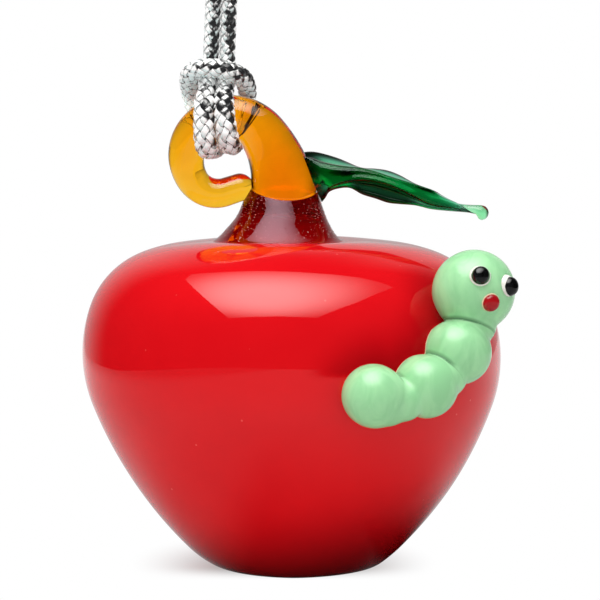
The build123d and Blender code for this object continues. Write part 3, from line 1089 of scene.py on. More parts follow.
# %% Red glass
RED_TINTS = ((0.70, 0.004, 0.008), (0.75, 0.006, 0.010))
FLECK_TINT = (1.0, 0.25, 0.22)
FLECK_SIZE = (0.03, 0.05)
FOOT_PAINTED_SHADE = (0.10, 0.001, 0.003)
FOOT_SHADE_TILT = 0.22
FOOT_SHADE_SPAN = (-0.004, 0.012)
UPPER_PAINTED_SHADE = (0.30, 0.001, 0.004)
UPPER_SHADE_SPAN = (0.024, 0.036)
BESIDE_WORM_PAINTED_SHADE = (0.20, 0.001, 0.003)
HORIZON = (0.0284, 0.0297)


def red_glass():
    """Glossy deep red with a few pale flecks; painted shade at the foot, above the waist and beside the worm,
    where the gloss is also quiet.
    """
    material, tree, shader, place = new_material("red_cased_glass")
    tint = clouded(tree, noise(tree, place, 55.0, 2.0, 0.4), *RED_TINTS)
    fleck = add_node(tree, "ShaderNodeTexVoronoi", Vector=place, Scale=260.0).outputs["Distance"]
    tint = colour_mix(tree, times(tree, remap(tree, fleck, *FLECK_SIZE, 1.0, 0.0), 0.3), tint, FLECK_TINT)
    height = axis(tree, place, "Z")
    # Painted shade: darker at the foot, most on the right.
    low = calc(tree, "SUBTRACT", height, times(tree, axis(tree, place, "X"), FOOT_SHADE_TILT))
    tint = colour_mix(tree, remap(tree, low, *FOOT_SHADE_SPAN, 0.9, 0.0), tint, FOOT_PAINTED_SHADE)
    # Painted shade: a little darker above the waist.
    tint = colour_mix(tree, remap(tree, height, *UPPER_SHADE_SPAN, 0.0, 0.25), tint, UPPER_PAINTED_SHADE)
    # Painted shade beside the worm above the horizon, where the gloss is also quiet.
    near = times(tree, point_value(tree, "worm_near"), remap(tree, height, *HORIZON, 0.0, 1.0))
    tint = colour_mix(tree, times(tree, near, 0.5), tint, BESIDE_WORM_PAINTED_SHADE)
    sheen = colour_mix(tree, remap(tree, near, 0.0, 0.5, 0.0, 1.0), (1.0, 1.0, 1.0), (0.0, 0.0, 0.0))
    rough = remap(tree, near, 0.2, 1.0, 0.02, 0.1)
    set_inputs(tree, shader, Base_Color=tint, Roughness=rough, Specular_Tint=sheen, IOR=1.5)
    bump(tree, shader, noise(tree, place, 42.0, 1.0), 0.00008)
    return material


cased_red = red_glass()
print("apple finish", cased_red.name)

# %% [markdown]
# ## The apple's skin
# Rings along the outline make the body. Hand work is never quite round: the crown rises a little towards
# the neck, as hot glass does when the neck is drawn out, and swells more in front. The whole apple leans
# by about a degree, and its base by a little less. Sculpting could do that too, but formulas can be set
# to the photograph.

# %% Apple skin
BASE_RADII = (3.0, 6.0, 7.0, 8.0, 8.8)
ARC_STEP = 0.7
CROWN_RINGS = 24
CROWN_RISE = 0.9
CROWN_RISE_REACH = (9.0, 20.0)
CROWN_FRONT = 0.9
CROWN_FRONT_INNER = (8.0, 13.0)
CROWN_FRONT_OUTER = (13.5, 21.5)
APPLE_LEAN = 0.021
LEAN_HEIGHT = 30.0
BASE_LEAN = 0.012
BASE_LEAN_FROM = -9.0
BASE_LEAN_REACH = (0.0, 14.0)
FOOT_SHARES = (0.85, 0.45)
FOOT_TOP = 10.0
FOOT_SIDE_POWER = 1.5
APPLE_AROUND = 256


def smooth_step(value, low, high):
    """A share that rises smoothly from 0 to 1 between two values."""
    share = np.clip((value - low) / (high - low), 0.0, 1.0)
    return share * share * (3 - 2 * share)


def apple_profile():
    """Radius and height of the apple's outer skin, from the base's middle to the crown's middle."""
    points = [(r, 0.0) for r in BASE_RADII]
    for centre, radius, low, high in apple_arcs():
        steps = max(6, int(radius * math.radians(high - low) / ARC_STEP))
        points += [tuple(centre + polar(radius, a)) for a in np.linspace(low, high, steps, endpoint=False)]
    flat = apple_arcs()[-1][0][0]
    points += [(r, crown / MM) for r in np.linspace(flat, 1.0, CROWN_RINGS)]
    points = np.array(points)
    on_top = points[:, 1] > apple_arcs()[2][0][1]
    points[on_top, 1] += CROWN_RISE * (1 - smooth_step(points[on_top, 0], *CROWN_RISE_REACH))
    return points


def apple_ring(radius, height):
    """A ring of the apple's skin: the crown swells in front, and the axis and the base lean a little."""
    ring = circle((0, 0, height), (1, 0, 0), (0, 1, 0), radius, APPLE_AROUND)
    if height > LEAN_HEIGHT:
        swell = smooth_step(radius, *CROWN_FRONT_INNER) * (1 - smooth_step(radius, *CROWN_FRONT_OUTER))
        ring[:, 2] += CROWN_FRONT * swell * np.clip(-ring[:, 1] / radius, 0, 1)
    if height < FOOT_TOP:
        share = np.where(ring[:, 0] < 0, *FOOT_SHARES)
        ring[:, 2] += foot_rise(radius) * share * np.abs(ring[:, 0] / radius) ** FOOT_SIDE_POWER
    low = 1 - smooth_step(height, *BASE_LEAN_REACH)
    ring[:, 2] = np.maximum(ring[:, 2] + BASE_LEAN * low * (ring[:, 0] - BASE_LEAN_FROM), 0.0)
    ring[:, 0] -= APPLE_LEAN * (height - LEAN_HEIGHT)
    return ring * MM


profile = apple_profile()
apple = capped("apple_body", [apple_ring(r, z) for r, z in profile])
dress(apple, cased_red, "ornament", "red_glass", "apple_casing")
print("apple", len(apple.data.polygons), "faces, radius", round(profile[:, 0].max(), 2))

# %% [markdown]
# ## Clear coloured glass
# Glass that light passes through takes its colour from its depth. A tinted surface would give thin and
# thick places the same colour, so the shader is clear and a volume inside absorbs some colours more than
# others. The amounts are per metre, so thin places come out light and thick ones deep. Gentle waves in
# the surface keep the highlights from looking machined, and a tint on the gloss quiets the mirror of the
# neck and the leaf.

# %% Clear glass
VEIL_TINTS = ((1.0, 1.0, 1.0), (0.95, 0.95, 0.95))
EDGE_PAINTED_SHADE = (0.0006, 0.0022, 0.0007)


def clear_glass(name, density, colour, gloss=(1.0, 1.0, 1.0)):
    """Clear glass with colour in its depth. The number edge on the points paints shade on parts of a piece.
    """
    material, tree, shader, place = new_material(name)
    tint = clouded(tree, noise(tree, place, 500.0, 2.0, 0.5), *VEIL_TINTS)
    # Painted shade where the points keep a high number edge.
    tint = colour_mix(tree, point_value(tree, "edge"), tint, EDGE_PAINTED_SHADE)
    set_inputs(tree, shader, Base_Color=tint, Roughness=0.0, IOR=1.5)
    set_inputs(tree, shader, Transmission_Weight=1.0, Specular_Tint=(*gloss, 1.0))
    bump(tree, shader, noise(tree, place, 260.0, 1.0), 0.00003)
    depth = add_node(tree, "ShaderNodeVolumeAbsorption", Color=(*colour, 1.0), Density=density)
    tree.links.new(depth.outputs["Volume"], tree.nodes["Material Output"].inputs["Volume"])
    return material


dark_red = clear_glass("dark_red_neck_glass", 2500.0, (0.976, 0.0, 0.0), (0.92, 0.68, 0.82))
amber = clear_glass("amber_rod_glass", 1050.0, (0.995, 0.829, 0.0))
green = clear_glass("green_leaf_glass", 1750.0, (0.05, 0.73, 0.47), (0.45, 0.65, 0.55))
light_green = clear_glass("light_green_drop_glass", 900.0, (0.25, 0.92, 0.5))
print("clear glass", dark_red.name, amber.name, green.name, light_green.name)

# %% [markdown]
# ## The rod's line
# The rod is one thread of hot amber glass: it rises from the neck in a wide arc, curls round into an eye
# and bends back at its tail. Arcs that share a tangent follow such a bend better than a hand-drawn curve.
# The rod is thickest at its foot, and its radius is smoothed along the line. The line comes first,
# because the neck's bowl has to face the way the rod leaves it.

# %% Rod line
CURL_RADIUS = 5.67
CURL_START = 35.0
CURL_END = 211.0
TAIL_RADIUS = 3.85
TAIL_TURN = 77.0
TAIL_LENGTH = 2.0
ROD_RADII = (4.55, 3.2, 2.7, 2.55, 2.13, 1.95, 1.85)
ROD_SOFTENING = 21


def rod_line():
    """Points of the hook's middle line in its own plane, with the rod's radius at each, in millimetres."""
    middle = np.array([eye.x, eye.z]) / MM
    start = middle + polar(CURL_RADIUS, CURL_START)
    foot = np.array([STEM_OFFSET, rim / MM])
    out = polar(1.0, CURL_START)
    reach = -np.dot(start - foot, start - foot) / (2 * np.dot(out, start - foot))
    centre = start + out * reach
    first = math.degrees(math.atan2(*(foot - centre)[::-1]))
    last = math.degrees(math.atan2(*(start - centre)[::-1]))
    rise = [centre + polar(abs(reach), a) for a in np.linspace(first, last, 30)]
    curl = [middle + polar(CURL_RADIUS, a) for a in np.linspace(CURL_START, CURL_END, 70)]
    turn = curl[-1] - polar(TAIL_RADIUS, CURL_END)
    tail = [turn + polar(TAIL_RADIUS, a) for a in np.linspace(CURL_END, CURL_END + TAIL_TURN, 30)]
    ahead = polar(1.0, CURL_END + TAIL_TURN + 90)
    tip = [tail[-1] + ahead * TAIL_LENGTH * s for s in np.linspace(0, 1, 8)]
    points = np.array(rise + curl[1:] + tail[1:] + tip[1:])
    curl_from = len(rise) - 1
    tail_from = curl_from + len(curl) - 1
    tip_from = tail_from + len(tail) - 1
    marks = [0, curl_from, curl_from + 26, curl_from + 52, tail_from, tip_from, len(points) - 1]
    radius = np.interp(np.arange(len(points)), marks, ROD_RADII)
    padded = np.pad(radius, ROD_SOFTENING // 2, mode="edge")
    return points, np.convolve(padded, np.ones(ROD_SOFTENING) / ROD_SOFTENING, "valid")


rod_points, rod_radii = rod_line()
rod_foot = np.array([rod_points[0][0], 0.0, rod_points[0][1]])
rod_heading = np.array([rod_points[1][0] - rod_points[0][0], 0.0, rod_points[1][1] - rod_points[0][1]])
rod_heading = rod_heading / np.linalg.norm(rod_heading)
print("rod", len(rod_points), "points, radius", round(rod_radii[0], 2), "to", round(rod_radii[-1], 2))

# %% [markdown]
# ## Where neck and rod meet
# The amber was let down hot on the neck: it fills a shallow bowl, and its rim leans and runs down in
# front and behind. Both pieces get the same bowl and the same rim from these two helpers, so they meet
# without a gap that shows.

# %% Rim and bowl
NECK_RIM_RADIUS = 4.55
NECK_BOWL_DEPTH = 1.4
GLASS_AROUND = 96
RIM_LEAN = (0.66, 0.61)
RIM_SAG = (1.16, 1.9)
RIM_SAG_POWER = 1.5
RIM_REACH = 3.6


def rim_lift(heading, share):
    """How far each point of a ring moves along the rod, so that the rim leans and runs down."""
    turn = np.linspace(0, 2 * math.pi, GLASS_AROUND, endpoint=False)
    sag = np.where(np.sin(turn) < 0, *RIM_SAG) * np.abs(np.sin(turn)) ** RIM_SAG_POWER
    lift = RIM_LEAN[0] + RIM_LEAN[1] * np.cos(turn) - sag
    return (lift * share * MM)[:, None] * np.asarray(heading)[None]


def rod_ring(at, heading, radius):
    """A ring across the rod in metres, from a place and a radius in millimetres."""
    return circle(at * MM, np.cross(heading, (0, 1, 0)), (0, 1, 0), radius * MM, GLASS_AROUND)


def bowl_rings(foot, heading, grow):
    """Rings of the round end of the rod, from its pole to just under the rim."""
    ball = (NECK_RIM_RADIUS**2 + NECK_BOWL_DEPTH**2) / (2 * NECK_BOWL_DEPTH)
    middle = foot + heading * (ball - NECK_BOWL_DEPTH)
    widest = math.asin(NECK_RIM_RADIUS / ball)
    rings = []
    for angle in np.linspace(0, widest, 12)[1:]:
        at = middle - heading * math.cos(angle) * (ball + grow)
        ring = rod_ring(at, heading, math.sin(angle) * (ball + grow))
        rings.append(ring + rim_lift(heading, (math.sin(angle) / math.sin(widest)) ** 2))
    return (middle - heading * (ball + grow)) * MM, rings


print("rim drop", RIM_SAG, "mm in front and behind")

# %% [markdown]
# ## The neck
# The neck is drawn out of the crown: wide and hollow-sided at its foot, narrow at the rim, and pulled a
# little to the left. A table of heights, half widths and middles, read off the photograph, is enough for
# rings. Towards the rim they tilt until they face along the rod.

# %% Neck
NECK_TABLE = (
    (-0.6, 10.9, -1.9),
    (0.55, 9.35, -1.85),
    (1.45, 8.0, -1.8),
    (2.9, 6.85, -1.6),
    (4.6, 5.8, -1.35),
    (6.5, 4.9, -1.15),
    (7.2, 4.55, -1.0),
)
NECK_ROWS = 40
NECK_TILT_FROM = 3.0
MELT_GAP = 0.02


def spline_through(table, share):
    """A smooth curve through the rows of a table, at a share of its rows (open ends)."""
    rows = np.asarray(table, float)
    place = np.clip(np.asarray(share, float), 0, 1) * (len(rows) - 1)
    index = np.minimum(place.astype(int), len(rows) - 2)
    t = (place - index)[:, None]
    before = rows[np.maximum(index - 1, 0)]
    first, second = rows[index], rows[index + 1]
    after = rows[np.minimum(index + 2, len(rows) - 1)]
    return 0.5 * (
        2 * first
        + (second - before) * t
        + (2 * before - 5 * first + 4 * second - after) * t**2
        + (3 * first - before - 3 * second + after) * t**3
    )


neck_rings = []
for height, half, middle in spline_through(NECK_TABLE, np.linspace(0, 1, NECK_ROWS)):
    share = smooth_step(height, NECK_TILT_FROM, NECK_HEIGHT)
    tilt = rod_heading * share + np.array([0, 0, 1]) * (1 - share)
    tilt = tilt / np.linalg.norm(tilt)
    centre = np.array([middle, 0.0, crown / MM + height])
    lift = rim_lift(tilt, smooth_step(height, NECK_HEIGHT - RIM_REACH, NECK_HEIGHT))
    neck_rings.append(rod_ring(centre, tilt, half) + lift)
bowl_pole, bowl = bowl_rings(rod_foot, rod_heading, MELT_GAP)
neck_foot = (NECK_TABLE[0][2] * MM, 0.0, crown + NECK_TABLE[0][0] * MM)
neck = skin("neck_glass", neck_foot, neck_rings + bowl[:-1][::-1], bowl_pole)
dress(neck, dark_red, "ornament", "dark_red_glass", "stem_neck")
print("neck", len(neck.data.polygons), "faces")

# %% [markdown]
# ## Seeds in the neck
# Glass that is worked again and again keeps fine bubbles, which makers call seeds. They are scattered
# over the neck's skin by a second Geometry Nodes tree: points on the faces between two heights, and on
# each point a tiny ball. Under the skin they would get no light in this renderer, so they sit in it.

# %% Seeds
SEED_SIZES = ("Lowest", "Highest", "Per Area", "Smallest", "Largest")
SEED_TINTS = ((0.38, 0.05, 0.05), (0.85, 0.52, 0.50))
SEED_FLATTEST = 0.75


def seeds_tree():
    """Tiny balls on the steeper faces of a mesh, between two heights."""
    tree, given = tree_with("seeds", SEED_SIZES, ("Seed",), ("Glass",))
    height = axis(tree, position(tree), "Z")
    upward = axis(tree, tree.nodes.new("GeometryNodeInputNormal").outputs["Normal"], "Z")
    chosen = calc(tree, "GREATER_THAN", height, given["Lowest"])
    chosen = times(tree, chosen, calc(tree, "LESS_THAN", height, given["Highest"]))
    chosen = times(tree, chosen, calc(tree, "LESS_THAN", upward, SEED_FLATTEST))
    spots = add_node(tree, "GeometryNodeDistributePointsOnFaces", Mesh=given["Geometry"], Selection=chosen)
    set_inputs(tree, spots, Density=given["Per Area"], Seed=given["Seed"])
    size = add_node(tree, "FunctionNodeRandomValue", {"data_type": "FLOAT"}, Seed=given["Seed"])
    tree.links.new(given["Smallest"], size.inputs[2])
    tree.links.new(given["Largest"], size.inputs[3])
    ball = add_node(tree, "GeometryNodeMeshIcoSphere", Radius=1.0, Subdivisions=1)
    balls = add_node(tree, "GeometryNodeInstanceOnPoints", Points=spots.outputs["Points"])
    set_inputs(tree, balls, Instance=ball.outputs["Mesh"], Scale=size.outputs[1])
    real = add_node(tree, "GeometryNodeRealizeInstances", Geometry=balls.outputs["Instances"])
    dressed = painted(tree, real.outputs["Geometry"], given["Glass"])
    result = tree.nodes.new("NodeGroupOutput")
    tree.links.new(dressed.outputs["Geometry"], result.inputs["Geometry"])
    return tree


def seed_material():
    """Bubbles in the neck's red light, some darker and some lighter."""
    material, tree, shader, place = new_material("seed_bubbles")
    tint = clouded(tree, noise(tree, place, 900.0, 1.0), *SEED_TINTS)
    set_inputs(tree, shader, Base_Color=tint, Roughness=0.2)
    return material


seed_values = {
    "Lowest": crown + 0.6 * MM,
    "Highest": rim - 0.2 * MM,
    "Per Area": 2.6 / MM**2,
    "Smallest": 0.035 * MM,
    "Largest": 0.072 * MM,
    "Seed": 5,
    "Glass": seed_material(),
}
seeds = made_by("neck_seeds", neck.data.copy(), seeds_tree(), seed_values)
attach(seeds, "ornament")
print("seeds", len(seeds.data.polygons), "faces")

# %% [markdown]
# ## The hook
# Rings along the rod's line, the shared bowl at its foot and a round end where it was nipped off make the
# hook. A bevelled curve would be quicker, but it could not take the rim that runs down over the neck.

# %% Hook
NEAR_FOOT = 40

hook_rings = []
for index, (point, radius) in enumerate(zip(rod_points, rod_radii)):
    before = rod_points[max(index - 1, 0)]
    after = rod_points[min(index + 1, len(rod_points) - 1)]
    ahead = np.array([after[0] - before[0], 0.0, after[1] - before[1]])
    ahead = ahead / np.linalg.norm(ahead)
    at = np.array([point[0], 0.0, point[1]])
    climb = np.dot(at - rod_foot, rod_heading) if index < NEAR_FOOT else RIM_REACH
    hook_rings.append(rod_ring(at, ahead, radius) + rim_lift(ahead, 1 - smooth_step(climb, 0.0, RIM_REACH)))
for angle in np.radians(np.arange(9, 90, 9)):
    end = at + ahead * math.sin(angle) * rod_radii[-1]
    hook_rings.append(rod_ring(end, ahead, rod_radii[-1] * math.cos(angle)))
hook_pole, hook_bowl = bowl_rings(rod_foot, rod_heading, 0.0)
hook = skin("hook_rod", hook_pole, hook_bowl[:-1] + hook_rings, (at + ahead * rod_radii[-1]) * MM)
dress(hook, amber, "ornament", "amber_glass", "stem_hook")
print("hook", len(hook.data.polygons), "faces")

# %% [markdown]
# ## Cuts across the leaf
# The leaf was pressed flat, folded along its ridge and pulled out to a drop. Each row of the table is a
# cut across it: how far along, how high the ridge is, how far down the front crease and the lower edge
# hang, how far the front and back reach, how high the back edge is waved, and how thick it is. A smooth
# closed line runs through the points of each cut.

# %% Leaf cuts
LEAF_TABLE = (
    (2.5, 4.9, 5.0, 5.8, 1.5, 1.7, 0.5, 2.4),
    (3.6, 4.75, 4.5, 4.9, 2.4, 2.6, 0.8, 2.2),
    (4.7, 4.32, 3.3, 3.8, 2.7, 2.9, 1.1, 1.8),
    (6.3, 3.94, 2.3, 3.0, 3.0, 3.0, 0.85, 1.5),
    (7.9, 3.77, 1.8, 2.8, 3.0, 3.0, 0.25, 1.4),
    (9.5, 3.6, 1.55, 3.5, 3.0, 3.0, -0.2, 1.3),
    (11.3, 3.15, 1.3, 3.65, 2.9, 2.9, 0.15, 1.3),
    (13.0, 2.55, 1.15, 3.65, 2.8, 2.8, 0.5, 1.25),
    (14.7, 2.0, 1.3, 3.3, 2.6, 2.6, 0.4, 1.2),
    (16.7, 1.33, 1.6, 2.8, 2.3, 2.3, -0.05, 1.1),
    (18.7, 0.65, 1.8, 2.6, 2.0, 2.0, -0.1, 1.0),
    (20.7, -0.2, 1.4, 2.05, 1.6, 1.7, 0.2, 1.0),
    (22.2, -0.72, 1.1, 1.7, 1.1, 1.2, 0.15, 0.9),
    (23.36, -1.15, 0.9, 1.5, 0.74, 0.74, 0.0, 0.9),
)


def leaf_cut(crease, low, front, back, wave, thick):
    """Points round a cut across the leaf, seen from the ridge, as depth and height."""
    lip = low - crease
    tuck = 0.5 * min(1.0, max(0.0, lip) / 1.5)
    return np.array(
        [
            (back, wave),
            (back * 0.4, wave * 0.3 - 0.2),
            (-front * 0.35, -0.1),
            (-front * 0.72, 0.1),
            (-front * 0.94, -crease * 0.4),
            (-front, -crease),
            (-front * (1 - tuck), -crease - 0.3 * lip),
            (-front * 0.75, -crease - 0.8 * lip),
            (-front * 0.45, -low),
            (-front * 0.1, -max(thick, low * 0.75)),
            (back * 0.5, wave * 0.35 - thick),
            (back, wave - thick * 0.6),
        ]
    )


def closed_line(points, count):
    """A smooth closed line through points."""
    wrapped = np.vstack([points[-2:], points, points[:3]])
    share = np.linspace(2, 2 + len(points), count, endpoint=False) / (len(wrapped) - 1)
    return spline_through(wrapped, share)


print("leaf", len(LEAF_TABLE), "cuts")

# %% [markdown]
# ## The leaf's blade
# A smooth run from cut to cut makes the blade, with shallow grooves along it. The cuts slant at the root,
# where the leaf lies against the stem, and at the tip. A flat sheet with a Solidify modifier would be
# even in thickness, but pressed glass is thicker at its fold and at its root.

# %% Leaf blade
LEAF_ROWS = 70
LEAF_AROUND = 64
ROOT_SLANT = -0.45
ROOT_SLANT_FROM = -2.4
ROOT_REACH = (2.5, 8.0)
TIP_SLANT = -1.7
TIP_REACH = (18.5, 23.36)
GROOVES = 9
GROOVE_DEPTH = 0.02
GROOVE_TWIST = 0.25
CAP_BEVEL = 0.96


def shrunk(ring):
    """A slightly smaller ring in the same plane, which keeps the edge of a cap crisp."""
    return ring.mean(axis=0) + (ring - ring.mean(axis=0)) * CAP_BEVEL


def leaf_rings():
    """The cuts across the blade, slanted at its root and its tip."""
    turn = np.linspace(0, 2 * math.pi, LEAF_AROUND, endpoint=False)
    rings = []
    for x, ridge, *cut in spline_through(LEAF_TABLE, np.linspace(0, 1, LEAF_ROWS)):
        line = closed_line(leaf_cut(*cut), LEAF_AROUND)
        groove = 1 + GROOVE_DEPTH * np.cos(turn * GROOVES + x * GROOVE_TWIST)
        line = line.mean(axis=0) + (line - line.mean(axis=0)) * groove[:, None]
        slant = ROOT_SLANT * (1 - smooth_step(x, *ROOT_REACH)) * (line[:, 1] - ROOT_SLANT_FROM)
        slant = slant + TIP_SLANT * smooth_step(x, *TIP_REACH) * (line[:, 1] - line[:, 1].mean())
        rings.append(np.column_stack([x + slant, line[:, 0], line[:, 1] + ridge]))
    rings.append(shrunk(rings[-1]))
    return [(ring + (0, 0, rim / MM)) * MM for ring in rings]


leaf = capped("leaf_blade", leaf_rings())
print("leaf", len(leaf.data.polygons), "faces")

# %% [markdown]
# ## The leaf's drop
# Where the leaf was pulled off, the thin glass drew back into a light drop. It starts with an oval on the
# same slant as the blade's end and grows into a ball. It is a piece of its own, because light green and
# dark green meet there in a sharp line.

# %% Leaf drop
DROP_MIDDLE = (25.6, -2.5)
DROP_TABLE = (
    (-2.22, 0.72, 0.74, 0.6),
    (-1.5, 0.71, 0.72, 0.42),
    (-0.9, 0.78, 0.78, 0.27),
    (-0.4, 0.93, 0.92, 0.1),
    (0.05, 1.0, 1.0, 0.0),
    (0.5, 0.87, 0.87, 0.0),
    (0.8, 0.6, 0.6, 0.0),
    (0.95, 0.3, 0.3, 0.0),
    (1.0, 0.05, 0.05, 0.0),
)
DROP_ROWS = 40
DROP_SLANT_REACH = (-2.22, -0.2)


def drop_rings():
    """The light glass at the tip: an oval that matches the blade's slanted end, and a round drop."""
    rings = []
    for along, high, deep, lift in spline_through(DROP_TABLE, np.linspace(0, 1, DROP_ROWS)):
        middle = np.array([DROP_MIDDLE[0] + along, 0.0, DROP_MIDDLE[1] + lift + rim / MM])
        ring = circle(middle, (0, deep, 0), (0, 0, high), 1.0, LEAF_AROUND)
        slant = TIP_SLANT * (1 - smooth_step(along, *DROP_SLANT_REACH))
        ring[:, 0] += slant * (ring[:, 2] - middle[2])
        rings.append(ring)
    return [ring * MM for ring in [shrunk(rings[0]), *rings]]


drop = capped("leaf_drop", drop_rings())
print("drop", len(drop.data.polygons), "faces")

# %% [markdown]
# ## The leaf's dark edges
# Light that enters a folded leaf at its edges runs inside the glass and hardly comes out towards the
# camera, so the ridge, the lip, the back edge and the root look nearly black. Tracing that takes more
# bounces than a render should need. A number on each point says how dark the surface is instead. The
# shader spreads a tint over the two surfaces that light crosses, so the numbers are pushed towards the
# dark.

# %% Leaf edges
CUT_POINTS = 12
EDGE_HILLS = ((11.5, 0.1, 0.9, 1.0), (3.0, 0.0, 0.5, 0.7), (5.3, 0.1, 0.5, 0.8), (8.0, 0.2, 0.9, 1.0))
LIP_HILL = (7.2, 1.1, 1.8)
LIP_SHARE = 0.97
LIP_START = (7.0, 9.0)
LIP_END = (15.5, 19.5)
TIP_HILL = (6.5, 1.2, 3.0)
TIP_SHARE = 0.8
TIP_DARK = (15.0, 20.0)
ROOT_SHARE = 0.85
ROOT_DARK = (3.0, 5.4)
DROP_SHARE = 0.95
DROP_DARK = (0.45, 0.8)


def peak(value, middle, inner, outer):
    """A smooth hill of height 1, on a scale that wraps round after the points of a cut."""
    away = np.abs((value - middle + CUT_POINTS / 2) % CUT_POINTS - CUT_POINTS / 2)
    return 1 - smooth_step(away, inner, outer)


def leaf_edges():
    """How dark the glass looks on each point: at the root, the back edge, the ridge and the lower lip."""
    spot = np.linspace(0, CUT_POINTS, LEAF_AROUND, endpoint=False)
    rows = [np.zeros(1)]
    for x, *_ in spline_through(LEAF_TABLE, np.linspace(0, 1, LEAF_ROWS)):
        lip = smooth_step(x, *LIP_START) * (1 - smooth_step(x, *LIP_END))
        hills = [share * peak(spot, middle, inner, outer) for middle, inner, outer, share in EDGE_HILLS]
        hills.append(LIP_SHARE * lip * peak(spot, *LIP_HILL))
        hills.append(TIP_SHARE * smooth_step(x, *TIP_DARK) * peak(spot, *TIP_HILL))
        root = ROOT_SHARE * (1 - smooth_step(x, *ROOT_DARK))
        rows.append(np.maximum(np.max(hills, axis=0), root))
    return 1 - (1 - np.concatenate([*rows, rows[-1], np.zeros(1)])) ** 2


leaf_dark = leaf_edges()
keep_on_points(leaf.data, "edge", leaf_dark)
# Painted shade: the drop darkens towards its end, as the leaf's edges do.
drop_along = mesh_points(drop.data)[:, 0] / MM - DROP_MIDDLE[0]
keep_on_points(drop.data, "edge", DROP_SHARE * smooth_step(drop_along, *DROP_DARK))
dress(drop, light_green, "ornament", "green_glass")
dress(leaf, green, "ornament", "green_glass", "leaf")
print("leaf edges, mean darkness", round(float(leaf_dark.mean()), 2))

# %% [markdown]
# ## The worm's beads
# Four drops of opal glass were set side by side while hot. They sit on the apple's cheek at the places of
# the solids, each sunk a little into the skin. Below its middle a bead goes on straight into the apple
# for a short way, a skirt, and a few smaller balls fill the valleys where the glass ran together.

# %% Beads
BEAD_NAMES = ("worm_tail", "worm_rear_segment", "worm_front_segment", "worm_head")
BEAD_LONGITUDES = (21.5, 36.3, 47.1, 54.6)
BEAD_SLOPES = (-8.0, -5.4, 6.1, 28.6)
BEAD_RADII = (4.5, 4.35, 4.45, 5.55)
BEAD_SINKS = (2.6, 2.35, 2.25, 1.65)
FILL_PAIRS = (0, 0, 1, 2)
FILL_OFFSETS = ((0.45, -0.72, -1.25), (-1.5, -1.4, -1.75), (0.65, -0.5, -1.0), (1.24, 0.0, -0.5))


def look_out(longitude, slope):
    """A direction from a turn about the upright axis and a slope."""
    turn, tilt = math.radians(longitude), math.radians(slope)
    return np.array([math.sin(turn) * math.cos(tilt), -math.cos(turn) * math.cos(tilt), math.sin(tilt)])


def apple_point(longitude, slope, height):
    """A point that high above the apple's skin, in millimetres."""
    for centre, radius, low, high in apple_arcs():
        if low <= slope <= high:
            reach, up = centre + polar(radius + height, slope)
    turn = math.radians(longitude)
    return np.array([math.sin(turn) * reach, -math.cos(turn) * reach, up])


bead_heights = np.subtract(BEAD_RADII, BEAD_SINKS)
bead_middles = np.array([apple_point(*row) for row in zip(BEAD_LONGITUDES, BEAD_SLOPES, bead_heights)])
bead_looks = np.array([look_out(*way) for way in zip(BEAD_LONGITUDES, BEAD_SLOPES)])
valleys = (bead_middles[1:] + bead_middles[:-1]) / 2
fill_middles = valleys[list(FILL_PAIRS)] + np.array(FILL_OFFSETS)
print("beads", len(bead_middles), "with", len(fill_middles), "fills")

# %% [markdown]
# ## Melting the beads together
# The beads melt into each other in soft creases. A boolean would leave sharp ones, and metaballs are hard
# to steer. One formula does it: every point knows its distance to each ball, and a soft minimum of these
# distances is the distance to the melted skin. The beads are trimmed by a hair, because the soft minimum
# swells them.

# %% Melt
BEAD_TRIM = (0.3, 0.18, 0.14, 0.08)
SKIRT_LENGTHS = (0.5, 0.8, 0.8, 0.2)
FILL_RADII = (2.6, 2.6, 2.5, 2.7)
WORM_MELT = 4.4


def bead_distances(points):
    """Distance of each point to each bead and its skirt, in millimetres, and the direction away from it."""
    away = points[:, None, :] - bead_middles[None]
    down = -(away * bead_looks[None]).sum(axis=2)
    away = away + np.clip(down, 0.0, np.array(SKIRT_LENGTHS))[:, :, None] * bead_looks[None]
    length = np.linalg.norm(away, axis=2)
    return length - (np.array(BEAD_RADII) - BEAD_TRIM), away / length[:, :, None]


def fill_distances(points):
    """Distance of each point to each ball of the glass that ran together between two beads."""
    away = points[:, None, :] - fill_middles[None]
    length = np.linalg.norm(away, axis=2)
    return length - np.array(FILL_RADII), away / length[:, :, None]


def blended(points):
    """Distance to the blended skin of all beads, and its direction."""
    beads, fills = bead_distances(points), fill_distances(points)
    distance = np.hstack([beads[0], fills[0]])
    away = np.hstack([beads[1], fills[1]])
    weight = np.exp(-WORM_MELT * (distance - distance.min(axis=1, keepdims=True)))
    total = weight.sum(axis=1)
    field = distance.min(axis=1) - np.log(total) / WORM_MELT
    slope = (weight[:, :, None] * away).sum(axis=1) / total[:, None]
    return field, slope


print("melt width", round(1 / WORM_MELT, 2), "mm")

# %% [markdown]
# ## The worm's skin
# The formula needs points to work on. A voxel remesh of plain balls gives an even skin close to the right
# one, and each of its points then walks onto the melted surface in a few short steps.

# %% Worm skin
WORM_VOXEL = 0.16 * MM
WORM_STEPS = 8

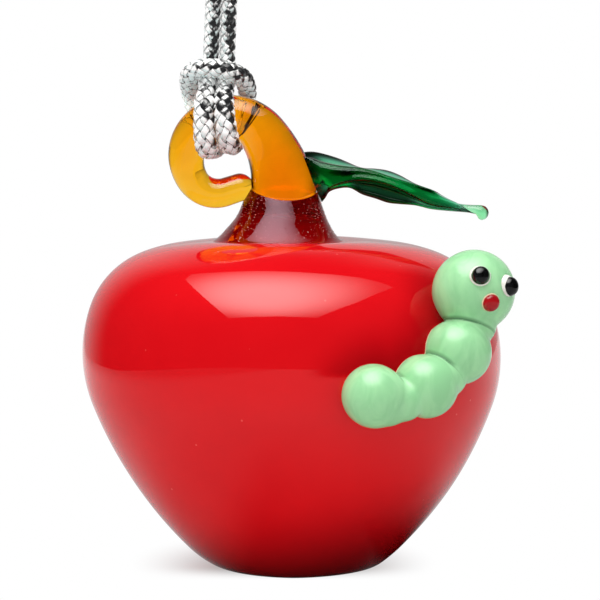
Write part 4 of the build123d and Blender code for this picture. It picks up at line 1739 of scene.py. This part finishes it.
worm_balls = list(zip(fill_middles, FILL_RADII))
for middle, look, radius, skirt in zip(bead_middles, bead_looks, BEAD_RADII, SKIRT_LENGTHS):
    worm_balls += [(middle - look * skirt * share, radius) for share in (0.0, 0.25, 0.5, 0.75, 1.0)]
worm_work = bmesh.new()
for middle, radius in worm_balls:
    made = bmesh.ops.create_icosphere(worm_work, subdivisions=5, radius=radius * MM)
    bmesh.ops.translate(worm_work, verts=made["verts"], vec=Vector(middle) * MM)
worm_mesh = bpy.data.meshes.new("worm_beads")
worm_work.to_mesh(worm_mesh)
worm_work.free()
worm_source = bpy.data.objects.new("worm_source", worm_mesh)
scene.collection.objects.link(worm_source)
worm_remesh = worm_source.modifiers.new("even_skin", "REMESH")
worm_remesh.mode = "VOXEL"
worm_remesh.voxel_size = WORM_VOXEL
worm_even = worm_source.evaluated_get(bpy.context.evaluated_depsgraph_get())
worm_skin = bpy.data.meshes.new_from_object(worm_even)
bpy.data.objects.remove(worm_source)
worm_points = mesh_points(worm_skin) / MM
for step in range(WORM_STEPS):
    worm_field, worm_slope = blended(worm_points)
    worm_points -= worm_slope * (worm_field / (worm_slope**2).sum(axis=1))[:, None]
worm_skin.vertices.foreach_set("co", (worm_points * MM).ravel())
worm_skin.polygons.foreach_set("use_smooth", [True] * len(worm_skin.polygons))
worm_skin.update()
print("worm", len(worm_skin.polygons), "faces")

# %% [markdown]
# ## Creases and seat
# Three numbers steer colours near the worm: painted shade in the creases, the cream edge where it sits,
# and painted shade on the apple. On the worm: how far a point is from a crease, with a wider border on the
# bead nearer the head, and how far it is from the apple. On the apple: how near the worm is. They are
# measured on the meshes, since a shader cannot know the distance to another piece.

# %% Creases
FILL_FADES = (0.75, 0.6, 0.35, 0.12)
FILL_FADE_LIMIT = 0.5
FILL_WEIGHT = 2.0
CREASE_WEIGHTS = (1.0, 3.0)
CHEEK_FROM = (20.0, 8.0)
CHEEK_STEP = 0.125
WORM_SHADE_REACH = 6.0


def apple_gap(points):
    """Distance of each point to the apple's skin, in millimetres."""
    reach = np.hypot(points[:, 0] + APPLE_LEAN * (points[:, 2] - LEAN_HEIGHT), points[:, 1])
    cheek = profile[(profile[:, 0] > CHEEK_FROM[0]) & (profile[:, 1] > CHEEK_FROM[1])]
    rows = np.arange(0, len(cheek) - 1, CHEEK_STEP)
    line = np.column_stack([np.interp(rows, np.arange(len(cheek)), column) for column in cheek.T])
    gap = np.full(len(points), np.inf)
    for spot in line:
        gap = np.minimum(gap, np.hypot(reach - spot[0], points[:, 2] - spot[1]))
    return gap


bead_gaps = bead_distances(worm_points)[0]
nearest = np.sort(bead_gaps, axis=1)
order = np.argsort(bead_gaps, axis=1)
crease_weight = np.where(order[:, 0] > order[:, 1], *CREASE_WEIGHTS)
filled = np.clip(np.array(FILL_FADES) - fill_distances(worm_points)[0], 0.0, FILL_FADE_LIMIT).max(axis=1)
crease = (nearest[:, 1] - nearest[:, 0]) * crease_weight + FILL_WEIGHT * filled
keep_on_points(worm_skin, "crease", crease)
keep_on_points(worm_skin, "seat", apple_gap(worm_points))
beside_worm = bead_distances(mesh_points(apple.data) / MM)[0].min(axis=1)
keep_on_points(apple.data, "worm_near", 1 - smooth_step(beside_worm, 0.0, WORM_SHADE_REACH))
print("crease up to", round(float(crease.max()), 1), "mm")

# %% [markdown]
# ## Opal glass
# Opal is clear glass with fine white grains, so light spreads a little way inside it: a small subsurface
# share does that, and faint streaks show how the glass was turned. Creases get a deep green painted shade
# and are less glossy, and where the worm sits on the apple its edge is cream, partly a painted highlight.

# %% Opal glass
OPAL_TINTS = ((0.30, 0.64, 0.33), (0.37, 0.72, 0.39))
OPAL_BORDERS = (0.32, 0.7)
STREAK_SCALE = (1.0, 1.0, 0.45)
STREAK_TURN = (0.3, 0.5, 0.2)
OPAL_SPREAD = (0.8, 1.0, 0.8)
CREASE_PAINTED_SHADE = (0.05, 0.20, 0.07)
CREASE_REACH = (0.0, 0.9)
SEAT_CREAM_AND_HIGHLIGHT = (0.95, 0.86, 0.55)
SEAT_REACH = (0.12, 0.34)


def opal_glass():
    """Mint opal, streaked, with painted shade in its creases and cream at its foot, partly a painted
    highlight.
    """
    material, tree, shader, place = new_material("mint_opal")
    stretch = add_node(tree, "ShaderNodeMapping", Vector=place, Scale=STREAK_SCALE, Rotation=STREAK_TURN)
    streak = noise(tree, stretch.outputs["Vector"], 420.0, 3.0, 0.8)
    tint = clouded(tree, streak, *OPAL_TINTS, *OPAL_BORDERS)
    crease_gap = point_value(tree, "crease")
    # Painted shade: the creases turn deep green.
    tint = colour_mix(tree, remap(tree, crease_gap, *CREASE_REACH, 0.95, 0.0), tint, CREASE_PAINTED_SHADE)
    # Cream at the worm's foot: a thin edge of glass, partly a painted highlight.
    tint = colour_mix(tree, remap(tree, point_value(tree, "seat"), *SEAT_REACH, 0.9, 0.0), tint, SEAT_CREAM_AND_HIGHLIGHT)
    rough = remap(tree, crease_gap, 0.1, 0.6, 0.6, 0.16)
    set_inputs(tree, shader, Base_Color=tint, Roughness=rough, IOR=1.48)
    set_inputs(tree, shader, Subsurface_Weight=0.35, Subsurface_Scale=0.0012, Subsurface_Radius=OPAL_SPREAD)
    bump(tree, shader, streak, 0.00002)
    return material


worm = bpy.data.objects.new("worm_body", worm_skin)
scene.collection.objects.link(worm)
dress(worm, opal_glass(), "ornament", "mint_opal_glass", *BEAD_NAMES)
print("worm finish", worm.data.materials[0].name)

# %% [markdown]
# ## Dots of glass
# Eyes and nose are dots of hot glass touched onto the head. Such a dot keeps a round top and spreads at
# its foot, so its outline is a dome with a small flare. A scaled sphere would lack that flare. Each point
# keeps its height over the head, which lets a light rim show round the nose.

# %% Glass dots
HEAD_MIDDLE = bead_middles[3]
HEAD_RADIUS = BEAD_RADII[3]
DOT_AROUND = 64
DOT_FLARE = ((0.8, -0.35), (1.0, -0.2), (1.08, -0.06))
DOT_FULLNESS = 0.85
DOT_RIM_LIFT = (0.04, 0.16)
DOT_RIM_TINT = (0.95, 0.80, 0.55)


def glass_dot(name, longitude, slope, half, foot, top, stretch=1.0, tilt=0.0):
    """A dome on the head: half its width, and how far its foot and its top are above the head's skin."""
    look = look_out(longitude, slope)
    side = np.cross(look, (0, 0, 1))
    side = side / np.linalg.norm(side)
    up = np.cross(side, look)
    turn = math.radians(tilt)
    first = (side * math.cos(turn) + up * math.sin(turn)) * stretch
    second = up * math.cos(turn) - side * math.sin(turn)
    base = HEAD_MIDDLE + look * (HEAD_RADIUS + foot)
    dome = [(math.cos(a) ** DOT_FULLNESS, math.sin(a)) for a in np.radians(np.arange(6, 90, 6))]
    rings = []
    for wide, high in (*DOT_FLARE, *dome):
        at = base + look * high * (top - foot)
        rings.append(circle(at * MM, first, second, half * wide * MM, DOT_AROUND))
    low_pole = (base + look * DOT_FLARE[0][1] * (top - foot)) * MM
    dot = skin(name, low_pole, rings, (base + look * (top - foot)) * MM)
    height = np.linalg.norm(mesh_points(dot.data) / MM - HEAD_MIDDLE, axis=1) - HEAD_RADIUS
    keep_on_points(dot.data, "lift", height)
    return dot


def dot_material(name, dark, light, roughness=0.05, rim_share=0.0):
    """Opaque glass of two near tints, with a light rim at a dot's foot if asked for."""
    material, tree, shader, place = new_material(name)
    tint = clouded(tree, noise(tree, place, 900.0, 2.0, 0.5), dark, light)
    rim_near = remap(tree, point_value(tree, "lift"), *DOT_RIM_LIFT, rim_share, 0.0)
    tint = colour_mix(tree, rim_near, tint, DOT_RIM_TINT)
    set_inputs(tree, shader, Base_Color=tint, Roughness=roughness, IOR=1.5)
    bump(tree, shader, noise(tree, place, 500.0, 1.0), 0.00002)
    return material


print("head at", [round(float(v), 1) for v in HEAD_MIDDLE], "mm")

# %% [markdown]
# ## The worm's face
# The black of each eye is a second, smaller dot on the white one. Longitude and slope say where a dot
# sits on the head; the other numbers are half its width and the heights of its foot and its top, in
# millimetres. The left pupil is also a little narrow and tilted.

# %% Face
white_glass = dot_material("white_eye_glass", (0.80, 0.78, 0.72), (0.90, 0.88, 0.83))
black_glass = dot_material("black_pupil_glass", (0.002, 0.002, 0.002), (0.008, 0.008, 0.009))
nose_glass = dot_material("red_nose_glass", (0.30, 0.004, 0.008), (0.42, 0.008, 0.012), rim_share=0.8)
face = (
    ("left_eye_dot", white_glass, "white_glass", "left_eye_white", (8.3, 26.6, 1.36, -0.2, 0.6)),
    ("left_pupil_dot", black_glass, "black_glass", "left_pupil", (8.3, 25.8, 1.22, 0.2, 1.15, 0.95, 20.0)),
    ("right_eye_dot", white_glass, "white_glass", "right_eye_white", (56.6, 10.3, 1.38, -0.2, 0.55)),
    ("right_pupil_dot", black_glass, "black_glass", "right_pupil", (57.4, 8.8, 1.24, 0.18, 1.1)),
    ("nose_dot_glass", nose_glass, "nose_glass", "nose_dot", (23.4, -12.4, 1.2, -0.15, 0.78)),
)
for name, material, slot, node, numbers in face:
    dress(glass_dot(name, *numbers), material, "ornament", slot, node)
print("face dots", len(face))

# %% [markdown]
# ## The hidden core
# The opaque bubble under the casing is never seen, so the solid's own mesh stays. It still gets its own
# red glass.

# %% Core
core_glass = dot_material("opaque_red_core", (0.35, 0.003, 0.006), (0.48, 0.005, 0.010), 0.2)
core = bpy.data.objects["apple_core"]
core.data.materials.clear()
core.data.materials.append(core_glass)
print("core", core.name)
